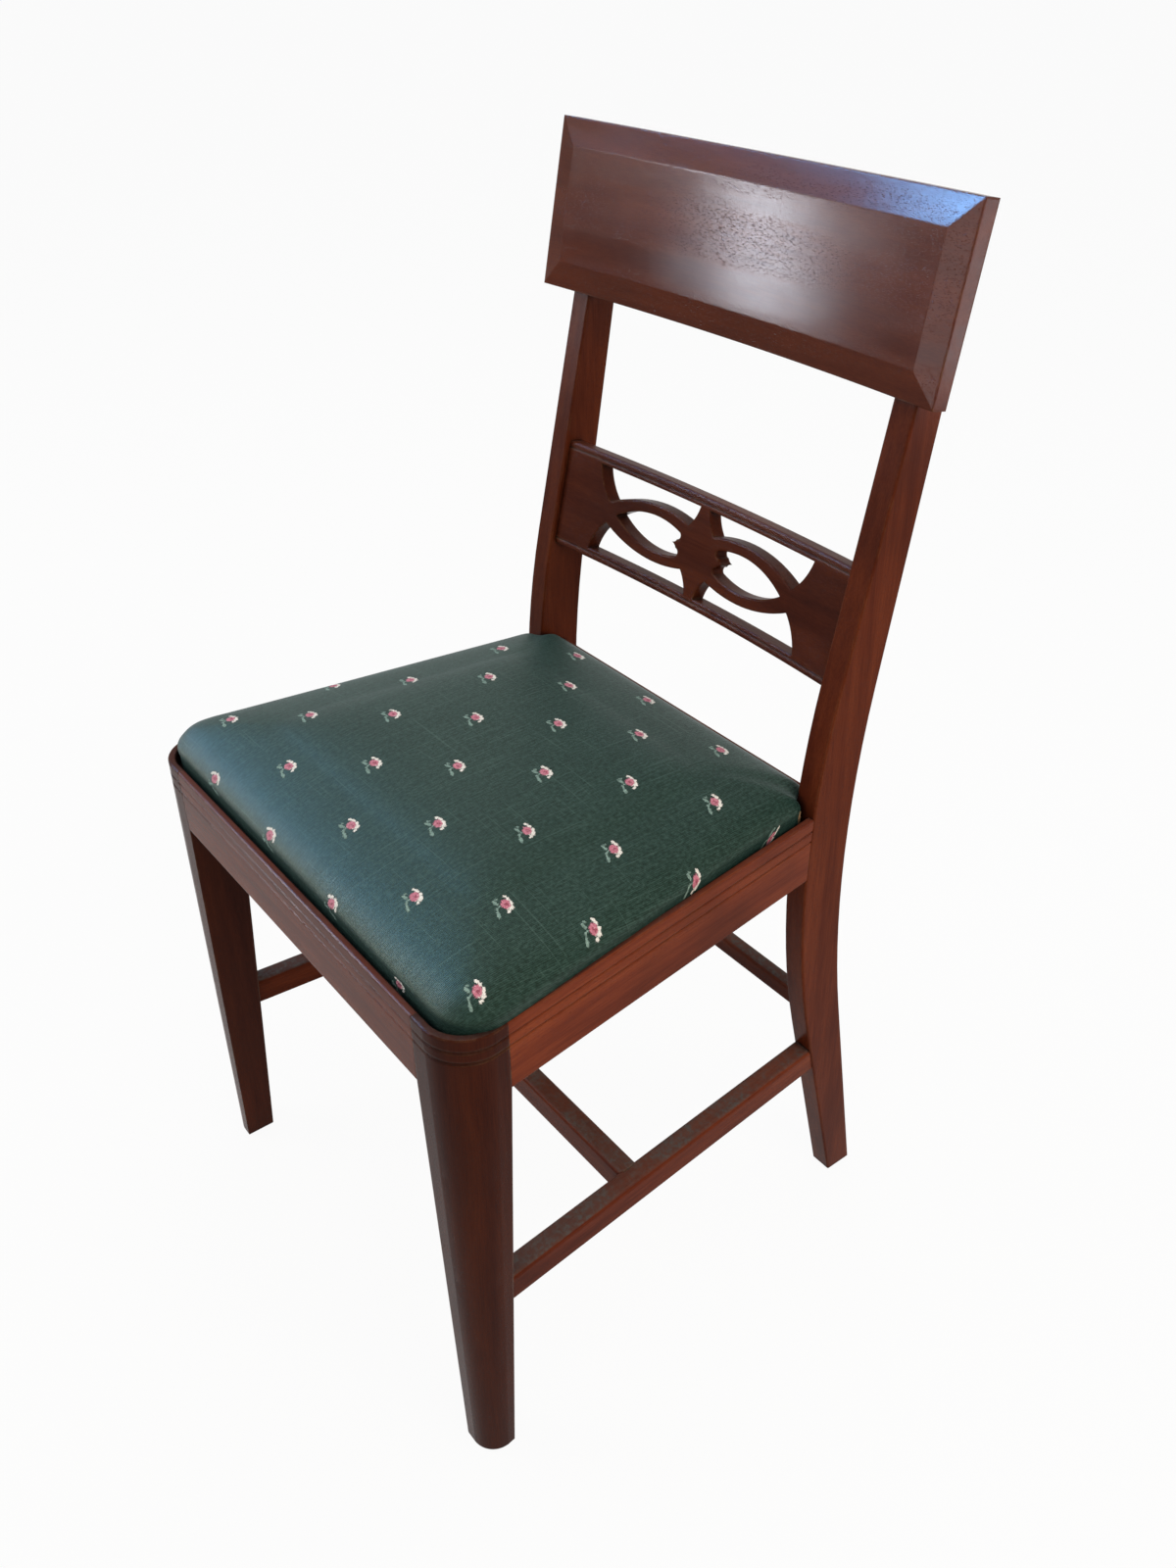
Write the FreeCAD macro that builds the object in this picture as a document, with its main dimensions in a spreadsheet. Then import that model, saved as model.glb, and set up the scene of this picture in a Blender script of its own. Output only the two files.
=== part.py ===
"""A dining chair with a raked tablet back, a pierced splat and a drop-in upholstered seat.

The chair is solid mahogany: two tapered front legs, two rear posts that are sabre-shaped below the
seat and raked above it, four seat rails, an H of stretchers with a slender one at the back, a concave
bevelled crest tablet lapped on to the posts, and a bowed splat housed between them. The seat is a
beech frame with webbing, hessian, stuffing and a cloth cover, dropped into the rails and screwed
up through the corner blocks.

Frame: +X to the right, the chair faces -Y, +Z up. In the comments "depth" is measured back from the
front face of the front legs. The origin is the middle of the footprint, on the floor.
"""
import FreeCAD, Part
import Sketcher
import math
import os

from FreeCAD import Placement, Rotation, Vector

doc = FreeCAD.newDocument("dining_chair")
sheet = doc.addObject("Spreadsheet::Sheet", "sizes")


class Size:
    """A number that also knows the spreadsheet formula it comes from."""

    def __init__(self, value, formula):
        self.value = value
        self.formula = formula

    def __add__(self, other):
        other = as_size(other)
        return Size(self.value + other.value, f"({self.formula} + {other.formula})")

    def __radd__(self, other):
        return as_size(other) + self

    def __sub__(self, other):
        other = as_size(other)
        return Size(self.value - other.value, f"({self.formula} - {other.formula})")

    def __rsub__(self, other):
        return as_size(other) - self

    def __mul__(self, other):
        other = as_size(other)
        return Size(self.value * other.value, f"({self.formula} * {other.formula})")

    def __rmul__(self, other):
        return as_size(other) * self

    def __truediv__(self, other):
        other = as_size(other)
        return Size(self.value / other.value, f"({self.formula} / {other.formula})")

    def __rtruediv__(self, other):
        return as_size(other) / self

    def __neg__(self):
        return Size(-self.value, f"(-1 * {self.formula})")


def as_size(number):
    return number if isinstance(number, Size) else Size(float(number), f"{float(number):g}")


def root(size):
    """Square root of a Size."""
    return Size(math.sqrt(size.value), f"sqrt({size.formula})")


def arctan(size):
    """Angle in degrees whose tangent is the Size."""
    return Size(math.degrees(math.atan(size.value)), f"atan({size.formula})")


def dimension(name, millimetres, meaning):
    """Writes a driving dimension to the sheet, one row each, and returns it as a Size."""
    dimension.row += 1
    sheet.set(f"A{dimension.row}", meaning)
    sheet.set(f"B{dimension.row}", f"{millimetres:g}")
    sheet.setAlias(f"B{dimension.row}", name)
    return Size(float(millimetres), f"<<sizes>>.{name}")


dimension.row = 0

# Overall sizes
overall_height = dimension("overall_height", 854, "floor to the top arris of the crest tablet")
overall_depth = dimension("overall_depth", 448, "front of the legs to the back of the posts' tops")
front_width = dimension("front_width", 442, "across the outer faces of the front legs")
rear_width = dimension("rear_width", 362, "across the outer faces of the rear posts")
rail_top = dimension("rail_top", 430, "floor to the top of the seat rails")
seat_depth = dimension("seat_depth", 340, "front face to the front of the posts at the bend")

# Front legs
leg_width = dimension("leg_width", 48, "front leg at the shoulder, across the chair")
leg_depth = dimension("leg_depth", 44, "front leg at the shoulder, front to back")
leg_corner = dimension("leg_corner", 36, "run of the rounded outer corner at the top of the leg")
foot_width = dimension("foot_width", 29.5, "front foot, across the chair")
foot_depth = dimension("foot_depth", 25.5, "front foot, front to back")
foot_corner = dimension("foot_corner", 21, "run of the rounded outer corner at the foot")
foot_ease = dimension("foot_ease", 2.5, "rounding of the worn edges round the soles of the feet")
corner_bite = dimension("corner_bite", 0.08, "how far the corner's cone is moved outwards")

# Rear posts
post_width = dimension("post_width", 20, "rear post, across the chair")
bend_height = dimension("bend_height", 370, "floor to the bend of the rear posts")
bend_inset = dimension("bend_inset", 19.5, "how far the rounding sets the bend back")
foot_sweep = dimension("foot_sweep", 88, "how far the rear foot's front stands behind the bend")
post_foot = dimension("post_foot", 27, "depth of the rear post at the floor")
post_seat = dimension("post_seat", 47, "depth of the rear post at the bend, before rounding")
post_head = dimension("post_head", 22, "depth of the rear post at its top")
front_bend = dimension("front_bend", 730, "radius of the bend at the front of the post")
rear_bend = dimension("rear_bend", 890, "radius of the bend at the back of the post")
post_drop = dimension("post_drop", 10, "how far the post stops below the crest's top")
post_arris = dimension("post_arris", 1.2, "width of the eased long edges of the posts")

# Seat rails
rail_height = dimension("rail_height", 55, "depth of the seat rails, top to bottom")
rail_thick = dimension("rail_thick", 20, "thickness of the seat rails")
lip_width = dimension("lip_width", 6, "width of the lip round the drop-in seat")
lip_ease = dimension("lip_ease", 1, "width of the eased edges of the lip")
rebate_drop = dimension("rebate_drop", 12, "depth of the rebate that the seat sits in")
groove_one = dimension("groove_one", 10.5, "first scored line below the rail's top")
groove_two = dimension("groove_two", 19.5, "second scored line below the rail's top")
groove_deep = dimension("groove_deep", 1.2, "depth of the scored lines")
rear_rail_inset = dimension("rear_rail_inset", 30, "rear rail's back face behind the front of the posts")
rear_lip = dimension("rear_lip", 12, "width of the rear rail's lip")

# Crest tablet
crest_width = dimension("crest_width", 407, "length of the crest tablet, end to end")
crest_height = dimension("crest_height", 124, "height of the crest tablet along its face")
crest_thick = dimension("crest_thick", 19, "thickness of the crest tablet at its field")
crest_bevel = dimension("crest_bevel", 20, "width of the bevel round the field")
crest_fall = dimension("crest_fall", 6, "how far the bevel falls back")
crest_radius = dimension("crest_radius", 1290, "radius of the tablet's hollow, in plan")
crest_rake = dimension("crest_rake", 0.195, "lean of the tablet, run back over rise")
crest_setback = dimension("crest_setback", 411, "depth of the tablet's top front arris")
crest_arris = dimension("crest_arris", 1.2, "rounding of the tablet's edges")

# Splat
splat_middle = dimension("splat_middle", 570, "floor to the middle of the splat")
splat_height = dimension("splat_height", 89, "height of the splat along its face")
splat_thick = dimension("splat_thick", 12, "thickness of the splat at its bars")
splat_groove = dimension("splat_groove", 3.2, "fine groove below each bar's outer edge")
splat_ease = dimension("splat_ease", 2, "rounding of the bars' outer front edges")
splat_radius = dimension("splat_radius", 1290, "radius of the splat's bow, in plan")
splat_setback = dimension("splat_setback", 5, "splat's front behind the front of the posts")
splat_housing = dimension("splat_housing", 8, "how far the splat is let into each post")
splat_bar = dimension("splat_bar", 8.5, "height of the splat's two bars")
tablet_half = dimension("tablet_half", 5.2, "half width of the middle tablet at the bars")
tablet_flare = dimension("tablet_flare", 14.5, "half width of the middle tablet at the rings")
ring_start = dimension("ring_start", 18, "height of the ring's outer edge at the tablet")
ring_rise = dimension("ring_rise", 22, "height of the ring's outer edge at its crown")
ring_end = dimension("ring_end", 9, "height of the ring's outer edge at the end block")
block_apex = dimension("block_apex", 106, "where the rings meet the end block, from the middle")
block_start = dimension("block_start", 122, "where the end block starts at the bars")
eye_tip = dimension("eye_tip", 96, "outer point of the oval opening, from the middle")
eye_root = dimension("eye_root", 22, "inner end of the oval opening, from the middle")
eye_root_half = dimension("eye_root_half", 9.5, "half height of the oval's inner end")
eye_half = dimension("eye_half", 13.5, "half height of the oval opening")
cusp_point = dimension("cusp_point", 29, "point of the tablet's ear, from the middle")
cusp_half = dimension("cusp_half", 3.5, "half height of the tablet's ear")

# Stretchers
stretcher_top = dimension("stretcher_top", 178, "floor to the top of the side and cross stretchers")
stretcher_high = dimension("stretcher_high", 23, "height of the side and cross stretchers")
stretcher_wide = dimension("stretcher_wide", 18, "width of the side and cross stretchers")
stretcher_ease = dimension("stretcher_ease", 4, "rounding of the stretchers' top edges")
stretcher_inset = dimension("stretcher_inset", 21.5, "middle of the side stretcher in from the leg's face")
cross_depth = dimension("cross_depth", 167, "depth of the middle of the cross stretcher")
rear_str_top = dimension("rear_str_top", 224, "floor to the top of the rear stretcher")
rear_str_high = dimension("rear_str_high", 16, "height of the rear stretcher")
rear_str_thick = dimension("rear_str_thick", 13, "thickness of the rear stretcher")

# Drop-in seat
seat_gap = dimension("seat_gap", 3.5, "gap between the lip and the seat's cloth")
post_gap = dimension("post_gap", 3, "gap between the seat and the rear posts")
back_gap = dimension("back_gap", 2, "gap between the seat's back edge and the rear rail's lip")
cover_thick = dimension("cover_thick", 1.2, "thickness of the cover cloth")
frame_thick = dimension("frame_thick", 15, "thickness of the seat frame")
frame_wide = dimension("frame_wide", 46, "width of the seat frame's pieces")
seat_crown = dimension("seat_crown", 467, "floor to the crown of the seat")
seat_shoulder = dimension("seat_shoulder", 438.5, "floor to the widest line of the seat's edge")
cover_turn = dimension("cover_turn", 22, "how far the cloth is turned under the frame")
web_wide = dimension("web_wide", 50, "width of the webbing")
web_pitch = dimension("web_pitch", 78, "spacing of the webbing")
web_thick = dimension("web_thick", 1, "thickness of the webbing")
hessian_thick = dimension("hessian_thick", 0.8, "thickness of the hessian")

# Corner blocks, tenons and dowels
block_reach = dimension("block_reach", 48, "how far a corner block runs along each rail")
block_high = dimension("block_high", 30, "height of the corner blocks")
block_drop = dimension("block_drop", 6, "top of the corner blocks below the ledge")
tenon_thick = dimension("tenon_thick", 8, "thickness of the tenons")
rail_tenon_high = dimension("rail_tenon_high", 32, "height of the rails' tenons")
rail_tenon_long = dimension("rail_tenon_long", 16, "how far the rails' tenons enter the front legs")
post_tenon_long = dimension("post_tenon_long", 11, "how far the rails' tenons enter the rear posts")
bar_tenon_high = dimension("bar_tenon_high", 13, "height of the stretchers' tenons")
bar_tenon_long = dimension("bar_tenon_long", 10, "how far the stretchers' tenons reach")
slim_tenon_thick = dimension("slim_tenon_thick", 7, "thickness of the rear stretcher's tenons")
slim_tenon_high = dimension("slim_tenon_high", 10, "height of the rear stretcher's tenons")
crest_dowel = dimension("crest_dowel", 7, "diameter of the dowels behind the crest")
crest_dowel_depth = dimension("crest_dowel_depth", 9, "depth of those dowels in each piece")
doc.recompute()

# Places worked out from the sizes
front = -overall_depth / 2
splay = (front_width - rear_width) / 2 / seat_depth
splay_stretch = root(splay * splay + 1)
rail_bottom = rail_top - rail_height
ledge = rail_top - rebate_drop
bend_front = seat_depth - bend_inset
bend_rear = bend_front + post_seat
post_top = overall_height - post_drop
post_inner = rear_width / 2 - post_width
top_sweep = overall_depth - post_head - bend_front
rake_above = top_sweep / (post_top - bend_height)
rail_rise = rail_top - bend_height
post_face = seat_depth + rail_rise * rail_rise / (2 * front_bend)
rear_rail_back = seat_depth + rear_rail_inset
seat_back = rear_rail_back - rear_lip - back_gap
corner_sine = splay / splay_stretch
corner_cosine = 1 / splay_stretch
half_cosine = root((1 - corner_sine) / 2)
half_sine = root((1 + corner_sine) / 2)
frame_bottom = ledge + cover_thick
frame_top = frame_bottom + frame_thick


def side_face(depth, inset):
    """X of a line parallel to the chair's right side face, set in by inset."""
    return front_width / 2 - splay * depth - inset * splay_stretch


def bind(thing, **paths):
    """Sets each property of the object to a Size; a double underscore in a name stands for a dot."""
    for path, size in paths.items():
        thing.setExpression(path.replace("__", "."), as_size(size).formula)


def new_body(name, x=0, y=front, z=0):
    body = doc.addObject("PartDesign::Body", name)
    body.Label = name
    bind(body, Placement__Base__x=x, Placement__Base__y=y, Placement__Base__z=z)
    return body


def plane_of(body, role):
    return next(plane for plane in body.Origin.OriginFeatures if plane.Role == role)


def new_sketch(body, role, name, offset=0):
    """A sketch on one of the body's origin planes, moved along the plane's normal by offset."""
    sketch = body.newObject("Sketcher::SketchObject", f"{body.Name}_{name}")
    sketch.AttachmentSupport = [(plane_of(body, role), "")]
    sketch.MapMode = "FlatFace"
    sketch.AttachmentOffset = Placement(Vector(0, 0, as_size(offset).value), Rotation())
    bind(sketch, AttachmentOffset__Base__z=offset)
    return sketch


def arc_radius(start, end, sagitta):
    """Radius of the arc whose middle stands off its chord by sagitta."""
    run = end[0] - start[0]
    rise = end[1] - start[1]
    chord_squared = run * run + rise * rise
    return (chord_squared / 4 + sagitta * sagitta) / (2 * sagitta)


def draw(sketch, corners, closed=True):
    """Draws a fully constrained outline.

    Each corner is (x, y) or (x, y, sagitta): with a sagitta the edge that leaves the corner is an
    arc, which stands off its chord to the left of the direction of travel, or to the right if the
    sagitta is negative.
    """
    points = [(as_size(corner[0]), as_size(corner[1])) for corner in corners]
    count = len(points)
    ends = []
    for index in range(count if closed else count - 1):
        start = points[index]
        end = points[(index + 1) % count]
        first = Vector(start[0].value, start[1].value, 0)
        last = Vector(end[0].value, end[1].value, 0)
        if len(corners[index]) == 2:
            edge = sketch.addGeometry(Part.LineSegment(first, last), False)
            ends.append((edge, 1, 2))
            continue
        sagitta = as_size(corners[index][2])
        chord = last - first
        left = Vector(-chord.y, chord.x, 0).normalize()
        middle = (first + last) * 0.5 + left * sagitta.value
        turns_left = sagitta.value < 0
        arc = Part.Arc(first, middle, last) if turns_left else Part.Arc(last, middle, first)
        edge = sketch.addGeometry(arc, False)
        ends.append((edge, 1, 2) if turns_left else (edge, 2, 1))
        depth = sagitta if sagitta.value > 0 else -sagitta
        radius = arc_radius(start, end, depth)
        number = sketch.addConstraint(Sketcher.Constraint("Radius", edge, radius.value))
        sketch.setExpression(f"Constraints[{number}]", radius.formula)
    pairs = list(zip(ends, ends[1:] + ends[:1])) if closed else list(zip(ends, ends[1:]))
    for (edge, _, tail), (following, head, _) in pairs:
        sketch.addConstraint(Sketcher.Constraint("Coincident", edge, tail, following, head))
    places = [(edge, head) for edge, head, _ in ends]
    if not closed:
        places.append((ends[-1][0], ends[-1][2]))
    for (edge, corner), (x, y) in zip(places, points):
        for kind, size in (("DistanceX", x), ("DistanceY", y)):
            number = sketch.addConstraint(Sketcher.Constraint(kind, -1, 1, edge, corner, size.value))
            sketch.setExpression(f"Constraints[{number}]", size.formula)
    return sketch


def pad(body, sketch, length, name="pad", both_sides=False, reverse=False):
    feature = body.newObject("PartDesign::Pad", f"{body.Name}_{name}")
    feature.Profile = sketch
    feature.Midplane = both_sides
    feature.Reversed = reverse
    bind(feature, Length=length)
    return feature


def through_pocket(body, sketch, name):
    """Cuts the sketch's outline right through the body, both ways."""
    feature = body.newObject("PartDesign::Pocket", f"{body.Name}_{name}")
    feature.Profile = sketch
    feature.Type = "ThroughAll"
    feature.Midplane = True
    return feature


def dress_edges(kind, body, chosen, name):
    """A Fillet or Chamfer on the edges of the body's last feature for which chosen(edge) is true."""
    doc.recompute()
    base = body.Tip
    names = [f"Edge{i + 1}" for i, edge in enumerate(base.Shape.Edges) if chosen(edge)]
    feature = body.newObject(f"PartDesign::{kind}", f"{body.Name}_{name}")
    feature.Base = (base, names)
    return feature


def round_edges(body, chosen, radius, name):
    bind(dress_edges("Fillet", body, chosen, name), Radius=radius)


def ease_edges(body, chosen, size, name):
    bind(dress_edges("Chamfer", body, chosen, name), Size=size)


def on_floor(edge):
    return all(abs(v.Z) < 1e-4 for v in edge.Vertexes)


def cylinder(name, diameter, length, at, rotation):
    """A straight round bar: at is its start, in Sizes, and rotation turns +Z to its direction."""
    bar = doc.addObject("Part::Cylinder", name)
    bar.Placement = Placement(Vector(0, 0, 0), rotation)
    x, y, z = at
    bind(bar, Radius=as_size(diameter) / 2, Height=length,
         Placement__Base__x=x, Placement__Base__y=y, Placement__Base__z=z)
    return bar


def fuse(name, pieces):
    group = doc.addObject("Part::MultiFuse", name)
    group.Shapes = pieces
    return group


def finish_piece(name, blank, tools, additions):
    """Cuts the tools from the blank and joins the additions to it; the result takes the name."""
    piece = blank
    if tools:
        piece = doc.addObject("Part::Cut", f"{name}_cut")
        piece.Base = blank
        piece.Tool = tools[0] if len(tools) == 1 else fuse(f"{name}_tools", tools)
    if additions:
        piece = fuse(f"{name}_joined", [piece, *additions])
    if piece is not blank:
        blank.Label = f"{name}_blank"
    piece.Label = name
    return piece


def mirrored(corners, side):
    """The outline as drawn for the right of the chair, or its mirror image for side -1."""
    return [(side * as_size(x), y, *(side * as_size(bulge) for bulge in rest))
            for x, y, *rest in corners]


def rounded_corner(run, inset):
    """The arc round the outer front corner of a leg or of the seat, set in by inset.

    run is the distance from the sharp corner to the start of the rounding. Returns the two corners
    of the outline that the arc joins.
    """
    radius = run * half_cosine / half_sine - inset
    start = (front_width / 2 - run, as_size(inset), -radius * (1 - half_cosine))
    end = (front_width / 2 - run * corner_sine - inset * corner_cosine,
           run * corner_cosine - inset * corner_sine)
    return [start, end]


def scored_line(height):
    """The three corners of a V-shaped scored line in an upright face at 0, read downwards."""
    half = groove_deep
    return [(0, height + half), (groove_deep, height), (0, height - half)]


# Front legs
leg_inner = front_width / 2 - leg_width


def leg_corner_cone(leg, side):
    """Rounds the leg's outer front corner by a cone that widens upwards.

    A cone that touches the front and the side face has its point and its axis in the plane that
    halves the angle between them, and its point on the sharp corner's line, below the floor. This
    one is moved outwards by corner_bite, so that it crosses the two faces in clean lines.
    """
    ratio = half_cosine / half_sine
    radius_low = foot_corner * ratio
    radius_high = leg_corner * ratio
    below = rail_top * radius_low / (radius_high - radius_low)
    sketch = leg.newObject("Sketcher::SketchObject", f"{leg.Name}_corner")
    sketch.AttachmentSupport = [(plane_of(leg, "XZ_Plane"), "")]
    sketch.MapMode = "FlatFace"
    turn = -side * arctan(half_cosine / half_sine)
    sketch.AttachmentOffset = Placement(Vector(side * front_width.value / 2, 0, 0),
                                        Rotation(Vector(0, 1, 0), turn.value))
    bind(sketch, AttachmentOffset__Base__x=side * front_width / 2, AttachmentOffset__Rotation__Angle=turn)
    past, air = 4, 12

    def cone_line(height):
        """How far the cone lies inside the sharp corner, at a height above the floor."""
        radius = radius_low + (radius_high - radius_low) * height / rail_top
        return radius * (1 / half_cosine - 1) - corner_bite, height
    draw(sketch, mirrored([cone_line(as_size(-past)), cone_line(rail_top + past),
                           (-air, rail_top + past), (-air, -past)], -side))
    ends = [(-corner_bite, -below), (radius_high / half_cosine - corner_bite, rail_top)]
    ends = [(-side * x, height) for x, height in ends]
    axis = sketch.addGeometry(Part.LineSegment(*[Vector(x.value, height.value, 0) for x, height in ends]),
                              True)
    for point, (x, height) in enumerate(ends, 1):
        for kind, size in (("DistanceX", x), ("DistanceY", height)):
            number = sketch.addConstraint(Sketcher.Constraint(kind, -1, 1, axis, point, size.value))
            sketch.setExpression(f"Constraints[{number}]", size.formula)
    groove = leg.newObject("PartDesign::Groove", f"{leg.Name}_corner_cut")
    groove.Profile = sketch
    groove.ReferenceAxis = (sketch, ["Axis0"])
    groove.Midplane = True
    bind(groove, Angle=2 * arctan(half_sine / half_cosine))
    return groove


def front_leg(name, side):
    leg = new_body(name)
    wide = new_sketch(leg, "XY_Plane", "shank")
    corner = (front_width / 2, as_size(0))
    draw(wide, mirrored([(leg_inner, 0), corner, (side_face(leg_depth, 0), leg_depth),
                         (leg_inner, leg_depth)], side))
    pad(leg, wide, rail_top, "shank_pad")
    past = 1
    inner = new_sketch(leg, "XZ_Plane", "inner_taper")
    draw(inner, mirrored([(leg_inner, rail_bottom), (leg_inner - past, rail_bottom), (leg_inner - past, 0),
                          (front_width / 2 - foot_width, 0)], side))
    through_pocket(leg, inner, "inner_taper_cut")
    back = new_sketch(leg, "YZ_Plane", "back_taper")
    draw(back, [(foot_depth, 0), (leg_depth + past, 0), (leg_depth + past, rail_bottom),
                (leg_depth, rail_bottom)])
    through_pocket(leg, back, "back_taper_cut")
    leg_corner_cone(leg, side)

    # Rebate for the drop-in seat, behind the lip
    inner = leg_inner - past
    outline = [(inner, lip_width), *rounded_corner(leg_corner, lip_width),
               (side_face(leg_depth + past, lip_width), leg_depth + past),
               (inner, leg_depth + past)]
    rebate = new_sketch(leg, "XY_Plane", "rebate", rail_top)
    draw(rebate, mirrored(outline, side))
    pocket = leg.newObject("PartDesign::Pocket", f"{name}_rebate_cut")
    pocket.Profile = rebate
    bind(pocket, Length=rebate_drop)

    # Scored lines that run on round the corner from the rails
    for number, below in enumerate((groove_one, groove_two)):
        path = new_sketch(leg, "XY_Plane", f"line_path_{number}", rail_top - below)
        draw(path, mirrored([(inner, 0), *rounded_corner(leg_corner, 0),
                             (side_face(leg_depth + past, 0), leg_depth + past)], side), closed=False)
        section = new_sketch(leg, "YZ_Plane", f"line_section_{number}", side * inner)
        draw(section, [(-0.5, rail_top - below + groove_deep), *scored_line(rail_top - below),
                       (-0.5, rail_top - below - groove_deep)])
        line = leg.newObject("PartDesign::SubtractivePipe", f"{name}_line_{number}")
        line.Profile = section
        line.Spine = (path, [f"Edge{i + 1}" for i in range(3)])

    def on_lip(edge):
        level = all(abs(v.Z - rail_top.value) < 1e-4 for v in edge.Vertexes)
        return level and edge.Length > 1.2 * lip_width.value
    ease_edges(leg, on_lip, lip_ease, "lip_edge")
    round_edges(leg, on_floor, foot_ease, "sole")
    return leg


SIDES = ((-1, "left"), (1, "right"))
pieces = {}
for side, word in SIDES:
    pieces[f"front_leg_{word}"] = front_leg(f"front_leg_{word}", side)


# Rear posts
def rear_post_blank(name, side):
    """The post without its joints: bent in side view, with rounded long edges."""
    post = new_body(name)
    outline = [(bend_front + foot_sweep, 0), (bend_front, bend_height),
               (bend_front + top_sweep, post_top), (overall_depth, post_top),
               (bend_rear, bend_height), (bend_front + foot_sweep + post_foot, 0)]
    profile = new_sketch(post, "YZ_Plane", "profile", side * (post_inner + post_width / 2))
    draw(profile, outline)
    pad(post, profile, post_width, both_sides=True)

    def at_bend(depth):
        def chosen(edge):
            return all(abs(v.Z - bend_height.value) < 1e-4 and abs(v.Y - depth.value) < 1e-4
                       for v in edge.Vertexes)
        return chosen
    round_edges(post, at_bend(bend_front), front_bend, "front_bend")
    round_edges(post, at_bend(bend_rear), rear_bend, "rear_bend")
    ease_edges(post, on_floor, post_arris, "sole")

    def runs_up(edge):
        low, high = edge.Vertexes[0], edge.Vertexes[-1]
        return abs(low.X - high.X) < 1e-4 and abs(low.Z - high.Z) > post_foot.value
    ease_edges(post, runs_up, post_arris, "arris")
    return post


for side, word in SIDES:
    pieces[f"rear_post_{word}"] = rear_post_blank(f"rear_post_{word}", side)


# Crest tablet and splat: both are bowed, so each is turned about a far upright axis
def bowed_body(name, rake, at_depth, at_height, mark_depth, mark_height):
    """A body whose origin is the centre of its bow, leaning back by rake.

    The point of its section at (mark_depth, mark_height) is placed at the given depth and height.
    Also returns the function that gives the depth and height of any other point of its section.
    """
    lean = root(rake * rake + 1)
    depth = at_depth - (mark_depth + mark_height * rake) / lean
    height = at_height + (mark_depth * rake - mark_height) / lean
    body = new_body(name, 0, front + depth, height)
    tilt = Rotation(Vector(1, 0, 0), -arctan(rake).value)
    body.Placement = Placement(body.Placement.Base, tilt)
    bind(body, Placement__Rotation__Angle=-arctan(rake))

    def place(y, z):
        return depth + (y + z * rake) / lean, height + (z - y * rake) / lean
    return body, place


def sweep_round(body, section, half_length, radius):
    """Turns the section about the body's upright axis until its front reaches half_length aside."""
    turned = body.newObject("PartDesign::Revolution", f"{body.Name}_turned")
    turned.Profile = section
    turned.ReferenceAxis = (section, ["V_Axis"])
    turned.Midplane = True
    half = half_length / root(radius * radius - half_length * half_length)
    bind(turned, Angle=2 * arctan(half))
    return turned


def crest_blank():
    half = crest_width / 2
    field_half = half - crest_bevel
    reach = root(crest_radius * crest_radius - half * half)
    field_reach = root(crest_radius * crest_radius - field_half * field_half)
    crest, place = bowed_body("crest_rail", crest_rake, crest_setback, overall_height,
                              reach + crest_fall, crest_height)
    face = crest_radius
    back = crest_radius + crest_thick
    edge = crest_radius + crest_fall
    section = new_sketch(crest, "YZ_Plane", "section")
    draw(section, [(edge, 0), (back, 0), (back, crest_height), (edge, crest_height),
                   (face, crest_height - crest_bevel), (face, crest_bevel)])
    past = 12
    sweep_round(crest, section, half + past, crest_radius)
    for side, word in SIDES:
        beyond = half + 2 * past
        air = field_reach - 3 * past
        wood = back + past
        end = new_sketch(crest, "XY_Plane", f"end_{word}", crest_height / 2)
        draw(end, mirrored([(field_half, field_reach), (field_half, air), (beyond, air),
                            (beyond, wood), (half, wood), (half, reach + crest_fall)], side))
        through_pocket(crest, end, f"end_cut_{word}")
    return crest, place


pieces["crest_rail"], crest_place = crest_blank()


def splat_openings(side):
    """Outlines of the three openings on one side of the splat: the oval and the two beside it."""
    field = splat_height / 2 - splat_bar
    arch = -(eye_half - eye_root_half / 2)
    ear = cusp_point - 5
    eye = [(eye_tip, 0, arch), (eye_root, eye_root_half, -2.2),
           (ear, cusp_half, -0.8), (cusp_point, 0, -0.8),
           (ear, -cusp_half, -2.2), (eye_root, -eye_root_half, arch)]
    ring = ring_rise - (ring_start + ring_end) / 2
    upper = [(block_start, field), (tablet_half, field, -1.5), (tablet_flare, ring_start, ring),
             (block_apex, ring_end, -2.5)]
    lower = [(x, -y, *(-as_size(bulge) for bulge in rest)) for x, y, *rest in upper]
    return [mirrored(outline, side) for outline in (eye, upper, lower)]


def splat_blank():
    half = splat_height / 2
    at_posts = root(splat_radius * splat_radius - post_inner * post_inner)
    post_line = bend_front + (splat_middle - bend_height) * rake_above
    splat, _ = bowed_body("back_splat", rake_above, post_line + splat_setback, splat_middle, at_posts, 0)
    face = splat_radius
    back = splat_radius + splat_thick
    round_off = -splat_ease * (1 - math.cos(math.pi / 4))
    groove = half - splat_ease - splat_groove
    deep = 0.8
    section = new_sketch(splat, "YZ_Plane", "section")
    draw(section, [(face, -half + splat_ease, round_off), (face + splat_ease, -half), (back, -half),
                   (back, half), (face + splat_ease, half, round_off), (face, half - splat_ease),
                   (face, groove + deep), (face + deep, groove), (face, groove - deep),
                   (face, -groove + deep), (face + deep, -groove), (face, -groove - deep)])
    sweep_round(splat, section, post_inner + splat_housing, splat_radius)
    for side, word in SIDES:
        for number, outline in enumerate(splat_openings(side)):
            opening = new_sketch(splat, "XZ_Plane", f"opening_{word}_{number}", -face - splat_thick / 2)
            draw(opening, outline)
            through_pocket(splat, opening, f"cut_{word}_{number}")

    return splat


pieces["back_splat"] = splat_blank()


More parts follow.
